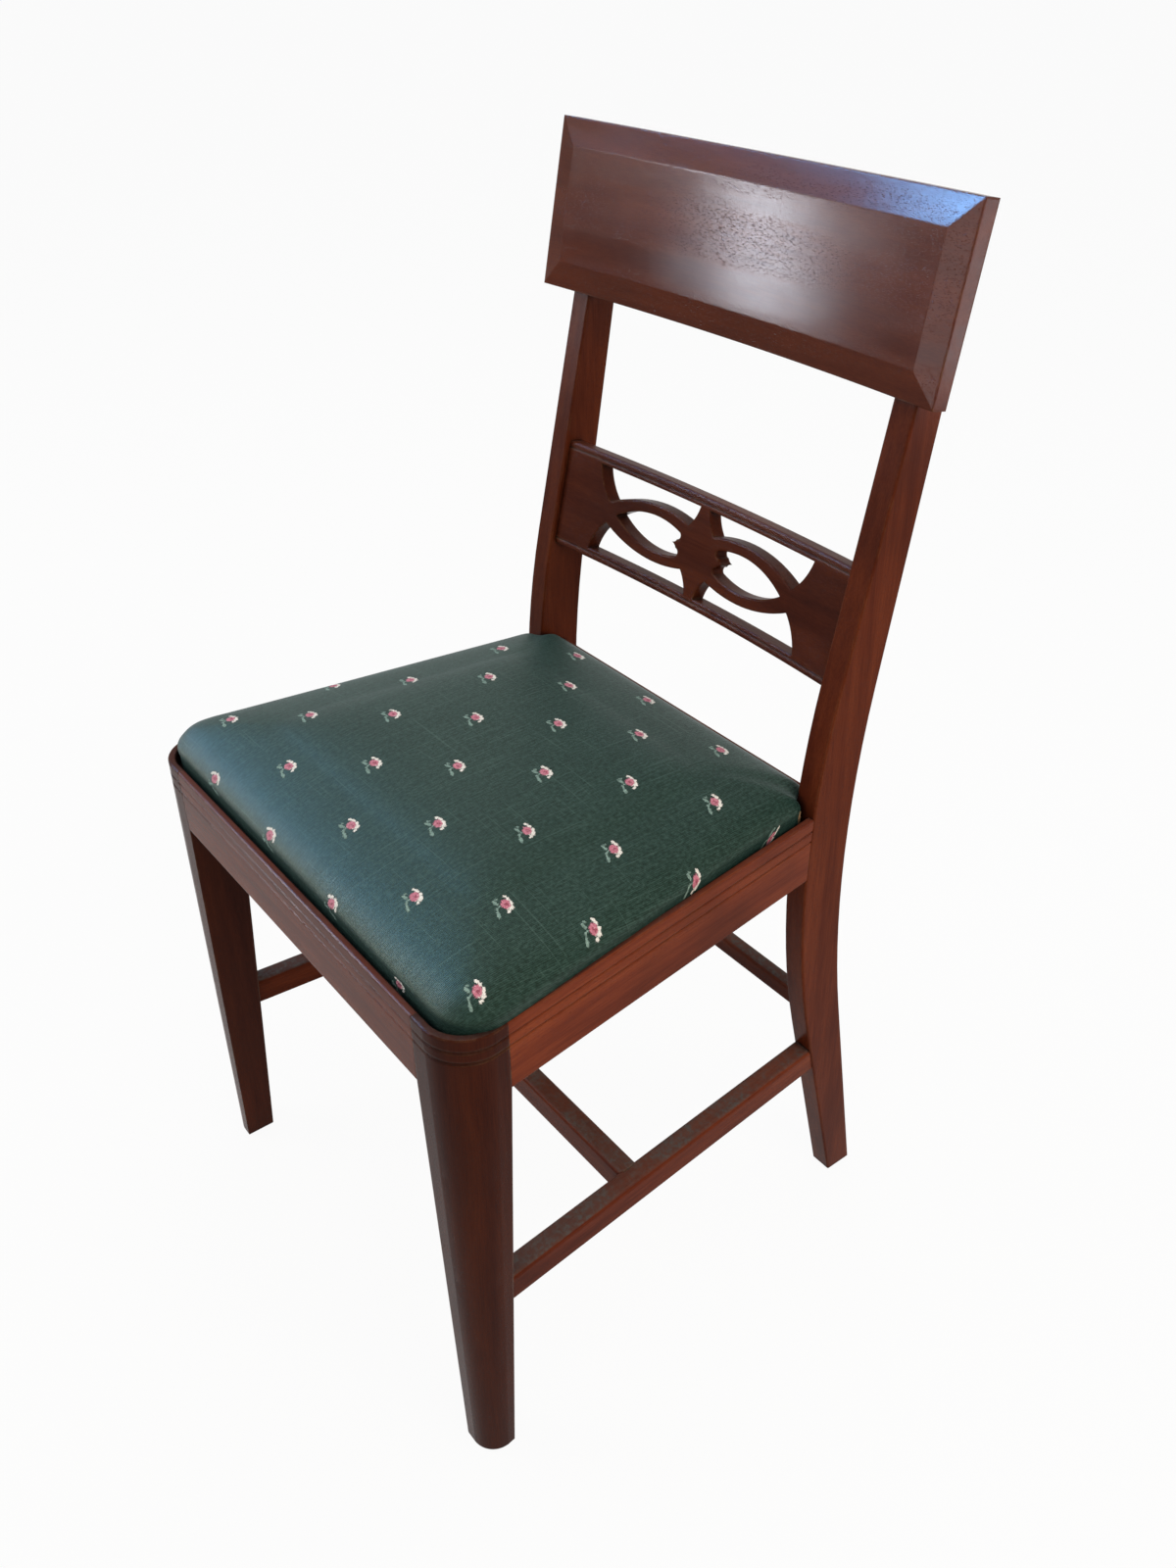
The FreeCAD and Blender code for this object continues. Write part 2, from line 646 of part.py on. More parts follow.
# Seat rails
def rail_section(sketch, inner, outer, ledge_at, side=1, lines=True):
    """Section of a rail seen along it: outer face at `outer`, inner face at `inner`."""
    corners = [(inner, ledge), (inner, rail_bottom), (outer, rail_bottom)]
    if lines:
        for below in (groove_two, groove_one):
            height = rail_top - below
            corners += [(outer, height - groove_deep), (outer + side * groove_deep, height),
                        (outer, height + groove_deep)]
    corners += [(outer, rail_top), (ledge_at, rail_top), (ledge_at, ledge)]
    draw(sketch, corners)


def lip_edge(inward):
    """Chooses the long edges along the top outer arris of a rail."""
    def chosen(edge):
        level = all(abs(v.Z - rail_top.value) < 1e-4 for v in edge.Vertexes)
        return level and edge.Length > 150 and inward(edge.CenterOfMass)
    return chosen


def front_rail():
    rail = new_body("front_seat_rail")
    section = new_sketch(rail, "YZ_Plane", "section")
    rail_section(section, rail_thick, 0, lip_width)
    pad(rail, section, front_width - 2 * leg_width, both_sides=True)
    ease_edges(rail, lip_edge(lambda p: True), lip_ease, "lip_edge")
    return rail


def rear_rail():
    rail = new_body("rear_seat_rail")
    section = new_sketch(rail, "YZ_Plane", "section")
    rail_section(section, rear_rail_back - rail_thick, rear_rail_back, rear_rail_back - rear_lip, lines=False)
    pad(rail, section, 2 * post_inner, both_sides=True)
    ease_edges(rail, lip_edge(lambda p: p.y > (rear_rail_back - rear_lip).value - 1), lip_ease, "lip_edge")
    return rail


def box(name, x, depth, z, length, width, height):
    """An upright block: x, depth and z give its left, front, bottom corner."""
    block = doc.addObject("Part::Box", name)
    bind(block, Length=length, Width=width, Height=height,
         Placement__Base__x=x, Placement__Base__y=front + depth, Placement__Base__z=z)
    return block


def slanted_body(name, side, x, depth, slope):
    """A body whose Y axis runs back along the side of the chair, coming in by slope."""
    body = new_body(name, side * x, front + depth)
    body.Placement = Placement(Vector(0, 0, 0), Rotation(Vector(0, 0, 1), side * arctan(slope).value))
    bind(body, Placement__Rotation__Angle=side * arctan(slope),
         Placement__Base__x=side * x, Placement__Base__y=front + depth)
    return body


def side_rail(name, side):
    rail = slanted_body(name, side, front_width / 2, 0, splay)
    start = (leg_depth - 6) * splay_stretch
    section = new_sketch(rail, "XZ_Plane", "section", -start)
    rail_section(section, -side * rail_thick, 0, -side * lip_width, -side)
    pad(rail, section, (seat_depth + 10) * splay_stretch - start, reverse=True)
    ease_edges(rail, lip_edge(lambda p: True), lip_ease, "lip_edge")
    return rail


reach = front_width / 2 + 30
before_leg = box("space_of_front_legs", -reach, -10, rail_bottom - 10, 2 * reach, leg_depth + 10,
                 rail_height + 20)
behind_post = box("space_of_rear_posts", -reach, post_face, rail_bottom - 10, 2 * reach, 60,
                  rail_height + 20)
pieces["front_seat_rail"] = front_rail()
pieces["rear_seat_rail"] = rear_rail()
for side, word in SIDES:
    pieces[f"side_seat_rail_{word}"] = side_rail(f"side_seat_rail_{word}", side)


# Stretchers
leg_back_low = (foot_depth + leg_depth) / 2
post_front_low = bend_front + foot_sweep / 2
stretcher_front = front_width / 2 - stretcher_inset
stretcher_slope = (stretcher_front - rear_width / 2 + post_width / 2) / (post_front_low - leg_back_low)
stretch = root(stretcher_slope * stretcher_slope + 1)


def eased_section(sketch, middle, width, top, high):
    """A bar's section with its two top edges rounded."""
    left = middle - width / 2
    right = middle + width / 2
    ease = stretcher_ease
    bulge = -ease * (1 - math.cos(math.pi / 4))
    draw(sketch, [(left, top - high), (right, top - high), (right, top - ease, bulge),
                  (right - ease, top), (left + ease, top, bulge), (left, top - ease)])


def side_stretcher(name, side):
    bar = slanted_body(name, side, stretcher_front, leg_back_low, stretcher_slope)
    start = 14
    section = new_sketch(bar, "XZ_Plane", "section", start)
    eased_section(section, 0, stretcher_wide, stretcher_top, stretcher_high)
    pad(bar, section, (post_front_low - leg_back_low) * stretch + start + 9, reverse=True)
    return bar


def straight_stretcher(name, depth, width, top, high, length):
    bar = new_body(name)
    section = new_sketch(bar, "YZ_Plane", "section")
    eased_section(section, depth, width, top, high)
    pad(bar, section, length, both_sides=True)
    return bar


for side, word in SIDES:
    pieces[f"side_stretcher_{word}"] = side_stretcher(f"side_stretcher_{word}", side)
cross_x = stretcher_front - (cross_depth - leg_back_low) * stretcher_slope - stretcher_wide / 2 * stretch
pieces["cross_stretcher"] = straight_stretcher("cross_stretcher", cross_depth, stretcher_wide,
                                               stretcher_top, stretcher_high, 2 * (cross_x + 6))
rear_str_middle = rear_str_top - rear_str_high / 2
rear_str_depth = (bend_front + foot_sweep * (1 - rear_str_middle / bend_height)
                  + (post_foot + (post_seat - post_foot) * rear_str_middle / bend_height) / 2 + 1)
pieces["rear_stretcher"] = straight_stretcher("rear_stretcher", rear_str_depth, rear_str_thick,
                                              rear_str_top, rear_str_high, 2 * post_inner)


# Corner blocks
block_top = ledge - block_drop
block_bottom = block_top - block_high


def corner_block(name, outline, side):
    block = new_body(name)
    sketch = new_sketch(block, "XY_Plane", "outline", block_bottom)
    draw(sketch, mirrored(outline, side))
    pad(block, sketch, block_high)
    return block


front_block = [(leg_inner - block_reach, rail_thick), (leg_inner, rail_thick), (leg_inner, leg_depth),
               (side_face(leg_depth, rail_thick), leg_depth),
               (side_face(leg_depth + block_reach, rail_thick), leg_depth + block_reach)]
rear_inner = rear_rail_back - rail_thick
block_corner = side_face(rear_inner, rail_thick)
rear_block = [(side_face(rear_inner - block_reach, rail_thick), rear_inner - block_reach),
              (block_corner, rear_inner), (block_corner - block_reach, rear_inner)]
for side, word in SIDES:
    pieces[f"corner_block_front_{word}"] = corner_block(f"corner_block_front_{word}", front_block, side)
    pieces[f"corner_block_rear_{word}"] = corner_block(f"corner_block_rear_{word}", rear_block, side)


# Drop-in seat
def seat_outline(inset):
    """Outline of the seat, notched round the rear posts, drawn in by inset from its widest line."""
    first, second = rounded_corner(leg_corner + 1.2 * inset, lip_width + seat_gap + inset)
    notch = post_face - post_gap - inset
    tongue = post_inner - post_gap - inset
    back = seat_back - inset
    side = side_face(notch, lip_width + seat_gap + inset)
    return [first, second, (side, notch), (tongue, notch), (tongue, back),
            (-tongue, back), (-tongue, notch), (-side, notch),
            (-second[0], second[1], first[2]), (-first[0], first[1])]


def cushion(name, levels):
    """A solid through the seat's outline at each level, given as (inset, height)."""
    body = new_body(name)
    sketches = []
    for number, (inset, height) in enumerate(levels):
        sketches.append(new_sketch(body, "XY_Plane", f"level_{number}", height))
        draw(sketches[-1], seat_outline(as_size(inset)))
    loft = body.newObject("PartDesign::AdditiveLoft", f"{name}_loft")
    loft.Profile = sketches[0]
    loft.Sections = sketches[1:]
    loft.Ruled = True
    return body


def frame_piece(name, corners):
    body = new_body(name)
    sketch = new_sketch(body, "XY_Plane", "outline", frame_bottom)
    draw(sketch, corners)
    pad(body, sketch, frame_thick)
    return body


frame_inset = lip_width + seat_gap + cover_thick
outline = seat_outline(cover_thick)
frame_front = frame_inset + frame_wide
frame_rear = seat_back - cover_thick - frame_wide
front_half = side_face(frame_front, frame_inset)
rear_half = side_face(frame_rear, frame_inset)
pieces["seat_frame_front"] = frame_piece("seat_frame_front", [*outline[:2], (front_half, frame_front),
                                                              (-front_half, frame_front), *outline[8:]])
pieces["seat_frame_rear"] = frame_piece("seat_frame_rear", [(-rear_half, frame_rear),
                                                            (rear_half, frame_rear), *outline[2:8]])
for side, word in SIDES:
    quad = [(front_half, frame_front), (rear_half, frame_rear),
            (side_face(frame_rear, frame_inset + frame_wide), frame_rear),
            (side_face(frame_front, frame_inset + frame_wide), frame_front)]
    pieces[f"seat_frame_{word}"] = frame_piece(f"seat_frame_{word}", mirrored(quad, side))

web_depth = (frame_front + frame_rear) / 2
web_long = frame_rear - frame_front + 56
web_across = 2 * (side_face(web_depth + web_pitch + web_wide / 2, frame_inset) - 6)
strips = []
for number in (-1, 0, 1):
    strips.append(box(f"web_back_{number + 2}", number * web_pitch - web_wide / 2, web_depth - web_long / 2,
                      frame_top, web_wide, web_long, web_thick))
    strips.append(box(f"web_across_{number + 2}", -web_across / 2,
                      web_depth + number * web_pitch - web_wide / 2,
                      frame_top + web_thick, web_across, web_wide, web_thick))
pieces["seat_webbing"] = fuse("seat_webbing", strips)
hessian_bottom = frame_top + 2 * web_thick
hessian_top = hessian_bottom + hessian_thick
pieces["seat_hessian"] = cushion("seat_hessian", [(cover_thick + 3, hessian_bottom),
                                                  (cover_thick + 3, hessian_top)])
rise = seat_crown - seat_shoulder
crown = [(0, hessian_top), (-0.8, seat_shoulder), (0.2, seat_shoulder + 0.07 * rise),
         (3, seat_shoulder + 0.175 * rise), (10, seat_shoulder + 0.344 * rise),
         (24, seat_shoulder + 0.551 * rise), (48, seat_shoulder + 0.754 * rise),
         (80, seat_shoulder + 0.912 * rise), (125, seat_crown)]


def inside_cover(inset, height):
    """The inner side of the cloth: thinner at the walls, lower at the top."""
    share = (height - hessian_top) / (seat_crown - hessian_top)
    return inset + cover_thick, height - cover_thick * share


inner_crown = [inside_cover(inset, height) for inset, height in crown]
pieces["seat_padding"] = cushion("seat_padding", inner_crown)


def upright(name, inset, bottom, top):
    """The seat's outline, drawn in by inset, with upright walls."""
    body = new_body(name)
    sketch = new_sketch(body, "XY_Plane", "outline", bottom)
    draw(sketch, seat_outline(as_size(inset)))
    pad(body, sketch, top - bottom)
    return body


cover_top = doc.addObject("Part::Cut", "seat_cover_top")
cover_top.Base = cushion("seat_cover_top_outside", crown)
cover_top.Tool = pieces["seat_padding"]
cover_walls = doc.addObject("Part::Cut", "seat_cover_walls")
cover_walls.Base = upright("seat_cover_walls_outside", 0, ledge, hessian_top)
cover_walls.Tool = fuse("seat_cover_space", [upright("seat_cover_inside", cover_thick, frame_bottom, hessian_top),
                                             upright("seat_cover_opening", cover_turn, ledge, frame_bottom)])
pieces["seat_cover"] = fuse("seat_cover", [cover_walls, cover_top])


# Joints: each tenon is part of its own piece and the tool that cuts its mortise
holes = {name: [] for name in pieces}
tongues = {name: [] for name in pieces}


def tenon(first, second, at, direction, size, inside=6):
    """A tenon and its mirror image, from the first piece into the second one.

    at is the middle of the joint as (x, depth, z), direction the way in plan that the tenon points,
    and size its (thickness, height, length beyond the joint).
    """
    thick, high, into = size
    for side, word in SIDES:
        unit = Vector(side * direction[0], direction[1], 0).normalize()
        name = f"tenon_{first}_{second}".format(word, word)
        block = doc.addObject("Part::Box", name)
        angle = math.degrees(math.atan2(unit.y, unit.x))
        block.Placement = Placement(Vector(0, 0, 0), Rotation(Vector(0, 0, 1), angle))
        x = side * as_size(at[0]) - inside * unit.x + thick / 2 * unit.y
        depth = at[1] - inside * unit.y - thick / 2 * unit.x
        bind(block, Length=into + inside, Width=thick, Height=high, Placement__Base__x=x,
             Placement__Base__y=front + depth, Placement__Base__z=at[2] - high / 2)
        tongues[first.format(word)].append(block)
        holes[second.format(word)].append(block)


rail_middle = rail_bottom + (rail_height - rebate_drop) / 2
leg_tenon = (tenon_thick, rail_tenon_high, rail_tenon_long)
post_tenon = (tenon_thick, rail_tenon_high, post_tenon_long)
tenon("front_seat_rail", "front_leg_{}", (leg_inner, rail_thick / 2, rail_middle), (1, 0), leg_tenon)
tenon("side_seat_rail_{}", "front_leg_{}", (side_face(leg_depth, rail_thick / 2), leg_depth, rail_middle),
      (splay.value, -1), leg_tenon)
tenon("side_seat_rail_{}", "rear_post_{}", (side_face(post_face, rail_thick / 2), post_face, rail_middle),
      (-splay.value, 1), post_tenon)
tenon("rear_seat_rail", "rear_post_{}", (post_inner, rear_rail_back - rail_thick / 2, rail_middle), (1, 0),
      post_tenon)

stretcher_middle = stretcher_top - stretcher_high / 2
bar_tenon = (tenon_thick, bar_tenon_high, bar_tenon_long)
tenon("side_stretcher_{}", "front_leg_{}", (stretcher_front, leg_back_low, stretcher_middle),
      (stretcher_slope.value, -1), bar_tenon)
tenon("side_stretcher_{}", "rear_post_{}", (rear_width / 2 - post_width / 2, post_front_low, stretcher_middle),
      (-stretcher_slope.value, 1), (tenon_thick, bar_tenon_high, 2 * bar_tenon_long))
tenon("cross_stretcher", "side_stretcher_{}", (cross_x, cross_depth, stretcher_middle), (1, 0), bar_tenon)
tenon("rear_stretcher", "rear_post_{}", (post_inner, rear_str_depth, rear_str_middle), (1, 0),
      (slim_tenon_thick, slim_tenon_high, bar_tenon_long))

# Blind dowels between the crest and the posts
post_middle = post_inner + post_width / 2
crest_back = crest_radius + crest_thick
dowels = []
for side, word in SIDES:
    for share in (0.27, 0.7):
        depth, height = crest_place(root(crest_back * crest_back - post_middle * post_middle),
                                    crest_height * share)
        unit = Vector(0, 1, -crest_rake.value).normalize()
        bar = cylinder(f"crest_dowel_{len(dowels) + 1}", crest_dowel, 2 * crest_dowel_depth,
                       (side * post_middle, front + depth - crest_dowel_depth * unit.y,
                        height - crest_dowel_depth * unit.z), Rotation(Vector(0, 0, 1), unit))
        dowels.append(bar)
        holes["crest_rail"].append(bar)
        holes[f"rear_post_{word}"].append(bar)

# Each piece is fitted to the ones it meets
holes["rear_post_left"] += [pieces["crest_rail"], pieces["back_splat"]]
holes["rear_post_right"] += [pieces["crest_rail"], pieces["back_splat"]]
holes["cross_stretcher"] += [pieces["side_stretcher_left"], pieces["side_stretcher_right"]]
for side, word in SIDES:
    holes[f"side_seat_rail_{word}"] += [before_leg, behind_post, pieces[f"rear_post_{word}"]]
    holes[f"side_stretcher_{word}"] += [pieces[f"front_leg_{word}"], pieces[f"rear_post_{word}"]]

nodes = {name: finish_piece(name, blank, holes[name], tongues[name]) for name, blank in pieces.items()}
nodes["crest_dowels"] = fuse("crest_dowels", dowels)

doc.recompute()
for thing in doc.Objects:
    if "Invalid" in thing.State or "Error" in thing.State:
        raise RuntimeError(f"{thing.Name} could not be built: {thing.getStatusString()}")
    if hasattr(thing, "Shape") and (thing.Shape.isNull() or not thing.Shape.isValid()):
        raise RuntimeError(f"{thing.Name} has no valid shape")

os.makedirs("parts", exist_ok=True)
for name, thing in nodes.items():
    thing.Shape.exportStep(f"parts/{name}.step")
print(f"{len(nodes)} pieces written")
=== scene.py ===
# %% [markdown]
# # A mahogany dining chair with a drop-in seat
#
# The wooden parts of this chair come from its CAD model and keep their shape. Here they get their
# finish: polished mahogany that has darkened, worn bright along its edges, which also carry a
# painted highlight, and gathered dust on what faces up. What is soft or tiny is made here: the
# padded seat in its woven cloth, the tacks that hold the cloth, the screws of the corner blocks and
# of the seat.

# %% The CAD model
import math
import bpy
import numpy as np
from mathutils import Matrix, Vector


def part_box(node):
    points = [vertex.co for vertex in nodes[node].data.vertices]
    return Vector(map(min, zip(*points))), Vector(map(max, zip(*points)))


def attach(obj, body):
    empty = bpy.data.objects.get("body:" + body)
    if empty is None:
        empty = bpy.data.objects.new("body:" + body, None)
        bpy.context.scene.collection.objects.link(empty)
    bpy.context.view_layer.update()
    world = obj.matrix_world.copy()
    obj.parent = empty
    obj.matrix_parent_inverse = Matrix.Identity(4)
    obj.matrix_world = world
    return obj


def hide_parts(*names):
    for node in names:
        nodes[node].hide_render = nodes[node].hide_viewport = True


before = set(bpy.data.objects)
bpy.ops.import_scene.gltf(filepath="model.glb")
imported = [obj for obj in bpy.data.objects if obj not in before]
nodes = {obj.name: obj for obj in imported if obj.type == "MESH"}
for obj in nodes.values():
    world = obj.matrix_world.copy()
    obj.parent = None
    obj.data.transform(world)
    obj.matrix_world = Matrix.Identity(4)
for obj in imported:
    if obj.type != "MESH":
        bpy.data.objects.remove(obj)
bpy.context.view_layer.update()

# %% [markdown]
# ## Writing a material as sums
#
# A node material is a small calculation: a noise times a number, plus a mask, and so on. It could
# be wired by hand, one Math node after another, but then nobody can read it. Here one class wraps
# a socket, so that `1 - mask` or `grain * 0.4` adds the Math node by itself, and one method adds
# any other node from its type, its settings and its inputs.

# %% Sockets that can be added and multiplied
class Wire:
    """An output socket. Arithmetic on it adds Math nodes to its own finish."""

    def __init__(self, finish, socket):
        self.finish, self.socket = finish, socket

    def maths(self, operation, first, second=0.0, clamp=False):
        return self.finish.node("ShaderNodeMath", {"operation": operation, "use_clamp": clamp},
                                {0: first, 1: second})

    def __add__(self, other):
        return self.maths("ADD", self, other)

    def __radd__(self, other):
        return self.maths("ADD", other, self)

    def __sub__(self, other):
        return self.maths("SUBTRACT", self, other)

    def __rsub__(self, other):
        return self.maths("SUBTRACT", other, self)

    def __mul__(self, other):
        return self.maths("MULTIPLY", self, other)

    def __rmul__(self, other):
        return self.maths("MULTIPLY", other, self)

    def __truediv__(self, other):
        return self.maths("DIVIDE", self, other)

    def size(self):
        return self.maths("ABSOLUTE", self)

    def whole(self):
        return self.maths("ROUND", self)

    def odd(self):
        """1 for an odd whole number and 0 for an even one."""
        return (self - 2.0 * self.maths("FLOOR", self / 2.0 + 0.001)).whole()

    def wave(self):
        return self.maths("SINE", self)

    def held(self):
        """Kept between 0 and 1."""
        return self.maths("ADD", self, 0.0, clamp=True)

    def most(self, other):
        return self.maths("MAXIMUM", self, other)

    def step(self, start, end):
        """Smoothly from 0 at start to 1 at end, which may lie below start."""
        low, high, to_low, to_high = (start, end, 0.0, 1.0) if start < end else (end, start, 1.0, 0.0)
        return self.finish.node("ShaderNodeMapRange", {"interpolation_type": "SMOOTHSTEP"},
                                {"Value": self, "From Min": low, "From Max": high,
                                 "To Min": to_low, "To Max": to_high})


class Wiring:
    """A node tree that starts empty: a finish's, or the world's."""

    def __init__(self, tree):
        self.tree = tree
        tree.nodes.clear()

    def node(self, kind, settings=None, inputs=None, output=0):
        """Adds a node of a kind, with its settings first and then what goes into its sockets."""
        made = self.tree.nodes.new(kind)
        for key, value in (settings or {}).items():
            if key == "stops":
                marks = made.color_ramp.elements
                while len(marks) > 1:
                    marks.remove(marks[-1])
                marks[0].position, marks[0].color = value[0][0], (*value[0][1], 1.0)
                for place, colour in value[1:]:
                    marks.new(place).color = (*colour, 1.0)
            else:
                setattr(made, key, value)
        for key, value in (inputs or {}).items():
            if isinstance(value, Wire):
                self.tree.links.new(value.socket, made.inputs[key])
            else:
                made.inputs[key].default_value = value
        return Wire(self, made.outputs[output])

    def surroundings(self):
        """1 where the camera, a mirror or glass sees the studio itself, and 0 where light falls."""
        seen = self.node("ShaderNodeLightPath").socket.node.outputs
        camera, mirror, glass = [Wire(self, seen[f"Is {ray} Ray"])
                                 for ray in ("Camera", "Glossy", "Transmission")]
        return (camera + mirror + glass).held()

    def end(self, shader, kind="ShaderNodeOutputMaterial"):
        self.tree.links.new(shader.socket, self.tree.nodes.new(kind).inputs["Surface"])


class Finish(Wiring):
    """A node material, and the few things that every finish here is made of."""

    def __init__(self, name):
        self.material = bpy.data.materials.new(name)
        self.material.use_nodes = True
        super().__init__(self.material.node_tree)

    def split(self, vector):
        """The three numbers of a vector."""
        parts = self.node("ShaderNodeSeparateXYZ", None, {0: vector})
        return [Wire(self, parts.socket.node.outputs[i]) for i in range(3)]

    def joined(self, x, y, z=0.0):
        return self.node("ShaderNodeCombineXYZ", None, {0: x, 1: y, 2: z})

    def place(self):
        """Where a point of the object is, in metres."""
        return self.node("ShaderNodeTexCoord", None, None, "Object")

    def noise(self, vector, scale=1.0, detail=2.0, rough=0.5):
        return self.node("ShaderNodeTexNoise", None,
                         {"Vector": vector, "Scale": scale, "Detail": detail, "Roughness": rough})

    def blend(self, share, first, second):
        """Colour from first to second as share goes from 0 to 1."""
        def colour(value):
            return value if isinstance(value, Wire) else (*value, 1.0)
        return self.node("ShaderNodeMix", {"data_type": "RGBA"},
                         {0: share, 6: colour(first), 7: colour(second)}, 2)

    def ramp(self, value, stops):
        return self.node("ShaderNodeValToRGB", {"stops": stops}, {0: value})

    def bump(self, height, depth, normal=None):
        """A relief of a height from 0 to 1 times a depth in metres, on an eased normal if given."""
        inputs = {"Height": height, "Distance": depth}
        if normal is not None:
            inputs["Normal"] = normal
        return self.node("ShaderNodeBump", None, inputs)

    def done(self, colour, roughness, normal=None, **constants):
        """The surface. Constants go straight onto the shader's own sockets."""
        inputs = {"Base Color": colour if isinstance(colour, Wire) else (*colour, 1.0),
                  "Roughness": roughness}
        if normal is not None:
            inputs["Normal"] = normal
        for key, value in constants.items():
            inputs[key.replace("_", " ")] = value
        self.end(self.node("ShaderNodeBsdfPrincipled", None, inputs))
        return self.material


print("shader helpers ready")

# %% [markdown]
# ## Old mahogany under a worn polish
#
# Mahogany is recognised by four things: broad soft stripes of figure along the board, finer
# streaks of fibre, short dark pores that are filled with stain, and a red-brown that the polish
# deepens. An image of a board could be wrapped round each part, but it would show seams at every
# edge. So the wood is solid here: its pattern is worked out from the place of each point in the
# board, stretched along the grain, and end grain comes out right by itself.
#
# Three masks age it. The Bevel node rounds each sharp edge for the light, and where it turns the
# surface's direction the polish is worn thin and pale, and lightened further as a painted highlight.
# Ambient Occlusion finds the corners and scored lines, which are darkened both by old wax and dirt
# and by painted shade. What faces up carries dust.

# %% Mahogany
SIDE_SLOPE = 0.11765               # how far each side of the seat draws in per metre of depth
MAHOGANY = [(0.28, (0.034, 0.0065, 0.0032)), (0.44, (0.078, 0.0150, 0.0062)),
            (0.56, (0.120, 0.0250, 0.0090)), (0.74, (0.185, 0.0440, 0.0150))]
FILLED_PORE, OLD_POLISH = (0.012, 0.0032, 0.0022), (0.030, 0.0075, 0.0045)
# Below, the pale edge colour also paints a highlight on the edges, and the near-black corner colour also
# paints shade in corners and scored lines.
WORN_EDGE_AND_HIGHLIGHT, WAX_DIRT_AND_PAINTED_SHADE, DUST = (0.200, 0.100, 0.048), (0.006, 0.003, 0.0025), (0.088, 0.076, 0.070)


def board(wood, along, shift, lean=0.0):
    """Where a point lies in its board: along the grain and twice across it, in metres."""
    x, y, z = wood.split(wood.place())
    run, side, deep = {"x": (x, y, z), "y": (y, z, x), "z": (z, x, y)}[along]
    return run + shift, side + shift * 0.37, deep + run * lean + shift * 0.61


def stretched(wood, run, side, deep, along, across):
    """A place with so many spots per metre along the grain and across it."""
    return wood.joined(run * along, side * across, deep * across)


def short_marks(wood, place, start, end):
    """Pores or flecks: 1 near the middle of each cell of a Voronoi pattern, 0 between them."""
    cells = wood.node("ShaderNodeTexVoronoi", {"feature": "F1"}, {"Vector": place, "Scale": 1.0})
    return cells.step(start, end)


def mahogany(name, along, shift, tone_and_painted_shading=1.0, dust=0.3, ease=0.0016, gloss=0.19, shine=0.03,
             figured=1.0, lean=0.0):
    """Wood with its grain along x, y or z, and its pattern moved by shift.

    The pattern's place is (along the grain, across, across) in metres, each times a scale: a small
    scale along the grain and a large one across it draws every spot out into a streak.
    tone_and_painted_shading lightens or darkens the whole wood: partly the board's own colour, partly
    painted light and shade. dust greys what faces up, and figured makes the stripes livelier. ease
    is the rounding of its edges in metres, gloss the polish's roughness, shine how much it
    mirrors, and lean how far the grain turns aside per metre.
    """
    wood = Finish(name)
    run, side, deep = board(wood, along, shift, lean)
    bend = wood.noise(stretched(wood, run, side, deep, 2.2, 9.0), detail=1.0) * 0.010
    place = run, side + bend, deep + bend
    figure = wood.noise(stretched(wood, *place, 1.6, 34.0), detail=3.0, rough=0.55)
    ribbon = wood.noise(stretched(wood, *place, 9.0, 120.0), detail=3.0, rough=0.6)
    fibre = wood.noise(stretched(wood, *place, 34.0, 1500.0), detail=3.0, rough=0.65)
    pores = short_marks(wood, stretched(wood, *place, 190.0, 1900.0), 0.34, 0.12)
    pores = pores * figure.step(0.35, 0.6)
    stripes = figure * 0.46 + ribbon * 0.26 + fibre * 0.28
    stripes = ((stripes - 0.5) * figured + 0.5).held()
    colour = wood.ramp(stripes, [(mark, tuple(part * tone_and_painted_shading for part in shade))
                                 for mark, shade in MAHOGANY])
    colour = wood.blend(pores * 0.45, colour, FILLED_PORE)

    # Cloudy old polish, and scuffs
    cloud = wood.noise(wood.place(), 7.0, 3.0, 0.6)
    colour = wood.blend(cloud.step(0.42, 0.72) * 0.45 * figured, colour, OLD_POLISH)

    # Edges worn pale and lightened further as a painted highlight; corners and scored lines darkened
    # by dirt and by painted shade
    eased = wood.node("ShaderNodeBevel", {"samples": 4}, {"Radius": ease})
    facing = wood.node("ShaderNodeNewGeometry", None, None, "Normal")
    turned = 1.0 - wood.node("ShaderNodeVectorMath", {"operation": "DOT_PRODUCT"},
                             {0: eased, 1: facing}, 1)
    patchy = wood.noise(wood.place(), 60.0, 3.0, 0.65)
    # The edges are paler from wear, and this pale colour also paints a highlight along them.
    worn_and_highlit = turned.step(0.02, 0.16) * patchy.step(0.38, 0.62)
    colour = wood.blend(worn_and_highlit * 0.52, colour, WORN_EDGE_AND_HIGHLIGHT)
    # Ambient Occlusion darkens corners and scored lines: old wax and dirt, and painted shade where less
    # light reaches.
    near = wood.node("ShaderNodeAmbientOcclusion", {"samples": 6}, {"Distance": 0.007}, "AO")
    crevice_shade_and_dirt = near.step(0.82, 0.35)
    colour = wood.blend(crevice_shade_and_dirt * 0.85, colour, WAX_DIRT_AND_PAINTED_SHADE)

    # Dust on what faces up
    up = wood.split(facing)[2].step(0.60, 0.97)
    specks = wood.noise(wood.place(), 240.0, 4.0, 0.7)
    swept = wood.noise(wood.place(), 16.0, 3.0, 0.6).step(0.35, 0.65)
    film = (up * (0.35 + 0.65 * swept) * dust).held()
    colour = wood.blend(film * (0.45 + 0.55 * specks.step(0.4, 0.7)), colour, DUST)

    # Smears in the polish make it a little duller, and so do dust and dirt
    x, y, z = wood.split(wood.place())
    smear = wood.noise(wood.joined(x * 11.0, y * 11.0, z * 30.0), detail=4.0, rough=0.6)
    rough = gloss + smear.step(0.35, 0.8) * 0.05 + fibre * 0.03 + film * 0.42 + crevice_shade_and_dirt * 0.3
    relief = fibre * 0.14 - pores * 0.8 - specks * film * 0.3
    normal = wood.bump(relief, 0.00010, eased)
    return wood.done(colour, rough.held(), normal, IOR=1.46, Specular_IOR_Level=shine)


print("mahogany ready")
